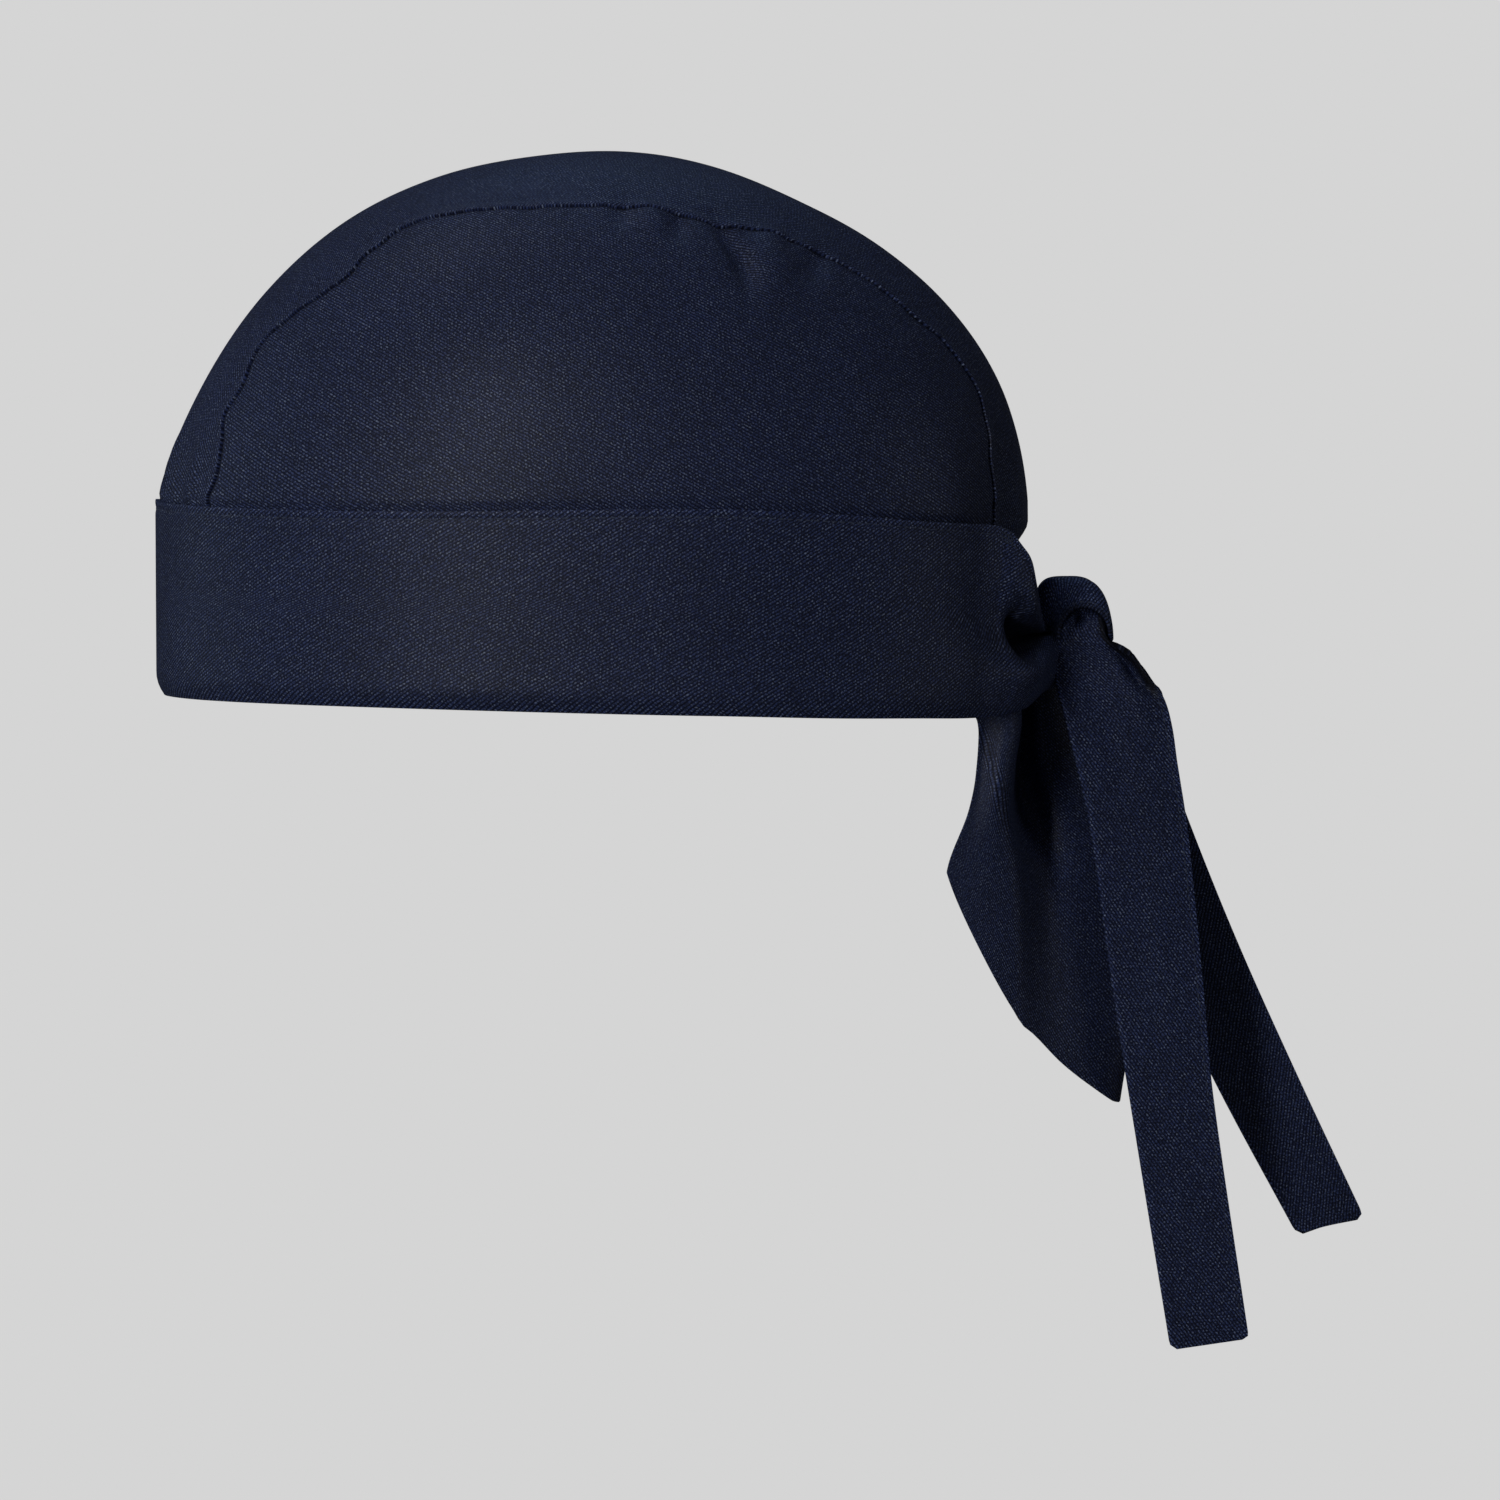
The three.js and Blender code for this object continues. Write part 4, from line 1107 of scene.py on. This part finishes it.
class SKULLCAP_OT_ties(bpy.types.Operator):
    """Adds the two hanging ties"""

    bl_idname = "skull_cap.ties"
    bl_label = "Ties"

    def execute(self, context):
        for side, name in SIDES:
            heights = TIES[side]["z"]
            rows = spaced(heights[-1], TIE_STEP, heights[0])
            tie = cloth_sheet(f"tie_cloth_{name}", spaced(*TIE_COLUMNS)[::side], rows,
                              partial(tie_place, side), None, cloth_settings().tie_cloth,
                              grain=121, wear_and_shade=tie_wear_and_shade, nodes=[f"tie_{name}"],
                              slot="navy_twill_tie", round_off=0.42)
        return {"FINISHED"}


class SKULLCAP_OT_knot(bpy.types.Operator):
    """Adds the knot's wrapped strand"""

    bl_idname = "skull_cap.knot"
    bl_label = "Knot"

    def execute(self, context):
        knot = cloth_sheet("knot_strand", spaced(*KNOT_COLUMNS), spaced(*KNOT_ROWS),
                           knot_place, None, KNOT_CLOTH * MM, grain=60, wear_and_shade=knot_painted_light_and_shade,
                           nodes=["tie_knot"], slot="navy_twill_tie", round_off=0.46)
        return {"FINISHED"}


class SKULLCAP_OT_stitches(bpy.types.Operator):
    """Sews the rows of stitches along the band, the panel seams, the ties and the knot"""

    bl_idname = "skull_cap.stitches"
    bl_label = "Stitches"

    def execute(self, context):
        cloth = cloth_settings()
        # Painted shade: the seams' thread is painted darker for the shade of the ditch it lies
        # in, and the tacks' thread for the shade at the band's gathered end.
        threads = {"seam": thread_material("seam_thread_painted_shade", cloth, shade=0.2),
                   "bar": thread_material("tack_thread_painted_shade", cloth, shade=0.6)}
        topstitch = thread_material("sewn_thread", cloth, shade=1)
        pitch = cloth.stitch_pitch / MM
        reach = BAND_HALF_LENGTH - BAND_STITCHES_END
        sideways = spaced(-reach, 1, reach)
        turns, over = spaced(*SEAM_STITCHES), spaced(*KNOT_STITCHES)
        rows = {
            "band_stitches": [(band_place_across, sideways,
                               self.band_height(sideways, BAND_STITCH_DOWN), pitch)],
            "seam_stitches": [(seam_ditch, turns, np.full_like(turns, side), pitch)
                              for side in (-1, 1)],
            "bar_tacks": [self.bar_tack(side, down) for side in (-1, 1) for down in TACK_ROWS],
            "knot_stitches": [(knot_place, over, np.full_like(over, side * KNOT_STITCH_ACROSS),
                               KNOT_STITCH_PITCH) for side in (-1, 1)],
        }
        for side, name in SIDES:
            end = TIES[side]["z"][-1] + TIE_STITCH_UP
            heights = spaced(end, TIE_STITCH_STEP, TIE_STITCH_TOP)
            rows[f"tie_stitches_{name}"] = [(partial(tie_place, side), np.full_like(
                heights, TIE_STITCH_BACK), heights, pitch)]
        for name, seams in rows.items():
            kind = name.split("_")[0]
            piece = sew(name, seams, cloth.thread_width, threads.get(kind, topstitch))
            finish_piece(piece, [])
        return {"FINISHED"}

    def band_height(self, sideways, down):
        """Share of the band's height that lies a distance below its upper edge."""
        run = BAND_HALF_LENGTH - np.abs(sideways)
        return 1 - down / (band_section("top", run) - band_section("bottom", run))

    def bar_tack(self, side, down):
        """A short dense row below the end of the band's top seam."""
        start, end = BAND_HALF_LENGTH - TACK_START, BAND_HALF_LENGTH - TACK_END
        sideways = side * spaced(start, TACK_STEP, end)
        run = BAND_HALF_LENGTH - np.abs(sideways)
        swinging = down + TACK_SWING * np.sin(run * TACK_WAVES)
        return band_place_across, sideways, self.band_height(sideways, swinging), TACK_PITCH


# ---- Studio ----

# Lamps: azimuth from the camera's side in degrees, then height, distance, size in metres,
# power in watts and colour.
WHITE, PALE_BLUE, COOL = (1, 1, 1), (0.74, 0.87, 1), (0.34, 0.55, 1)
LIGHTS = (
    ("strip_softbox", -25, 0.4, 1.6, (0.24, 1.6), 6.9, WHITE),
    ("side_softbox", -50, 0.5, 1.7, (0.6, 1.2), 0.45, WHITE),
    ("front_softbox", -102, 0.2, 1.7, (0.8, 1.2), 1.75, PALE_BLUE),
    ("back_softbox", 78, 0.1, 1.8, (0.6, 1.2), 1.0, WHITE),
    ("crown_softbox", -100, 1.4, 0.6, (0.45, 0.45), 0.9, WHITE),
    ("top_softbox", 180, 1.3, 0.8, (0.8, 0.8), 1.3, COOL),
)
LIGHT_TARGET, AIR_COLOUR = (0, 0.01, 0.03), (0.92, 0.95, 1.0, 1)

# Floor and camera, in metres, with the film's width in millimetres. The floor's rim rises
# in steps, each with a height and how much it widens.
FLOOR_HEIGHT, FLOOR_RADIUS, FLOOR_CORNERS = -0.3, 2.4, 96
WALL_STEPS = ((0.05, 1.1), (0.25, 1.12), (0.9, 1.06), (1.6, 1.0))
CAMERA_TARGET, CAMERA_FILM, CAMERA_NEAR = (0, 0.03713, -0.0128), 36, 0.05


def aim(thing, target):
    way = Vector(target) - thing.location
    thing.rotation_euler = way.to_track_quat("-Z", "Y").to_euler()


class SKULLCAP_OT_studio(bpy.types.Operator):
    """Adds the pale floor and backdrop, the soft lights and the camera"""

    bl_idname = "skull_cap.studio"
    bl_label = "Floor, lights and camera"

    def execute(self, context):
        scene, studio = context.scene, context.scene.skull_cap_studio
        scene.view_settings.view_transform = "Standard"
        scene.view_settings.look = "None"

        self.backdrop(studio)
        self.lights(scene, studio)
        self.camera(scene, studio)
        return {"FINISHED"}

    def backdrop(self, studio):
        """A round floor whose rim curves up into a wall, lit evenly all over."""
        start_clean()
        bpy.ops.mesh.primitive_circle_add(vertices=FLOOR_CORNERS, radius=FLOOR_RADIUS,
                                          fill_type="NGON", location=(0, 0, FLOOR_HEIGHT))
        floor = bpy.context.object
        floor.name = "studio_floor"
        bpy.ops.object.mode_set(mode="EDIT")
        bpy.ops.mesh.select_mode(type="EDGE")
        bpy.ops.mesh.select_all(action="SELECT")
        for rise, grow in WALL_STEPS:
            bpy.ops.mesh.extrude_edges_move(TRANSFORM_OT_translate={"value": (0, 0, rise)})
            bpy.ops.transform.resize(value=(grow, grow, 1))
        bpy.ops.object.mode_set(mode="OBJECT")
        bpy.ops.object.shade_smooth()
        grey = Nodes("pale_backdrop")
        grey.join(grey.shader, {
            "Base Color": (0.003, 0.003, 0.003, 1), "Roughness": 1, "Specular IOR Level": 0,
            "Emission Color": (1, 1, 1, 1), "Emission Strength": studio.backdrop_grey})
        floor.data.materials.append(grey.material)
        floor.visible_diffuse = floor.visible_glossy = floor.visible_shadow = False

    def lights(self, scene, studio):
        for name, azimuth, height, distance, size, power, colour in LIGHTS:
            turn = math.radians(azimuth)
            place = (distance * math.cos(turn), distance * math.sin(turn), height)
            start_clean()
            bpy.ops.object.light_add(type="AREA", location=place)
            lamp = bpy.context.object
            lamp.name = lamp.data.name = name
            lamp.data.shape = "RECTANGLE"
            lamp.data.size, lamp.data.size_y = size
            lamp.data.energy = power * studio.light_power
            lamp.data.color = colour
            lamp.visible_camera = False
            aim(lamp, LIGHT_TARGET)
        world = bpy.data.worlds.new("studio_air")
        world.use_nodes = True
        air = world.node_tree.nodes["Background"]
        air.inputs["Color"].default_value = AIR_COLOUR
        air.inputs["Strength"].default_value = studio.air_strength
        scene.world = world

    def camera(self, scene, studio):
        tilt, distance = studio.camera_height, studio.camera_distance
        target = Vector(CAMERA_TARGET)
        place = target + distance * Vector((math.cos(tilt), 0, math.sin(tilt)))
        start_clean()
        bpy.ops.object.camera_add(location=place)
        camera = bpy.context.object
        camera.name = "studio_camera"
        camera.data.sensor_width = CAMERA_FILM
        camera.data.lens = studio.camera_lens
        camera.data.clip_start = CAMERA_NEAR
        aim(camera, target)
        scene.camera = camera


# ---- The add-on's panel and main ----

PIECES = (SKULLCAP_OT_centre_panel, SKULLCAP_OT_side_panels, SKULLCAP_OT_band,
          SKULLCAP_OT_knot, SKULLCAP_OT_ties, SKULLCAP_OT_stitches, SKULLCAP_OT_studio)


class SKULLCAP_PT_cap(bpy.types.Panel):
    """Lists the cap's pieces, in the order in which they are made"""

    bl_idname = "SKULLCAP_PT_cap"
    bl_label = "Chef Skull Cap"
    bl_space_type = "VIEW_3D"
    bl_region_type = "UI"
    bl_category = "Skull Cap"

    def draw(self, context):
        scene = context.scene
        for settings in (scene.skull_cap_cloth, scene.skull_cap_studio):
            for name in settings.__annotations__:
                self.layout.prop(settings, name)
        for operator in PIECES:
            self.layout.operator(operator.bl_idname)


CLASSES = (SkullCapCloth, SkullCapStudio, *PIECES, SKULLCAP_PT_cap)


def register():
    for cls in CLASSES:
        bpy.utils.register_class(cls)
    bpy.types.Scene.skull_cap_cloth = bpy.props.PointerProperty(type=SkullCapCloth)
    bpy.types.Scene.skull_cap_studio = bpy.props.PointerProperty(type=SkullCapStudio)


def unregister():
    del bpy.types.Scene.skull_cap_studio
    del bpy.types.Scene.skull_cap_cloth
    for cls in reversed(CLASSES):
        bpy.utils.unregister_class(cls)


def main():
    register()
    for operator in PIECES:
        getattr(bpy.ops.skull_cap, operator.bl_idname.split(".")[1])()


if __name__ == "__main__":
    main()
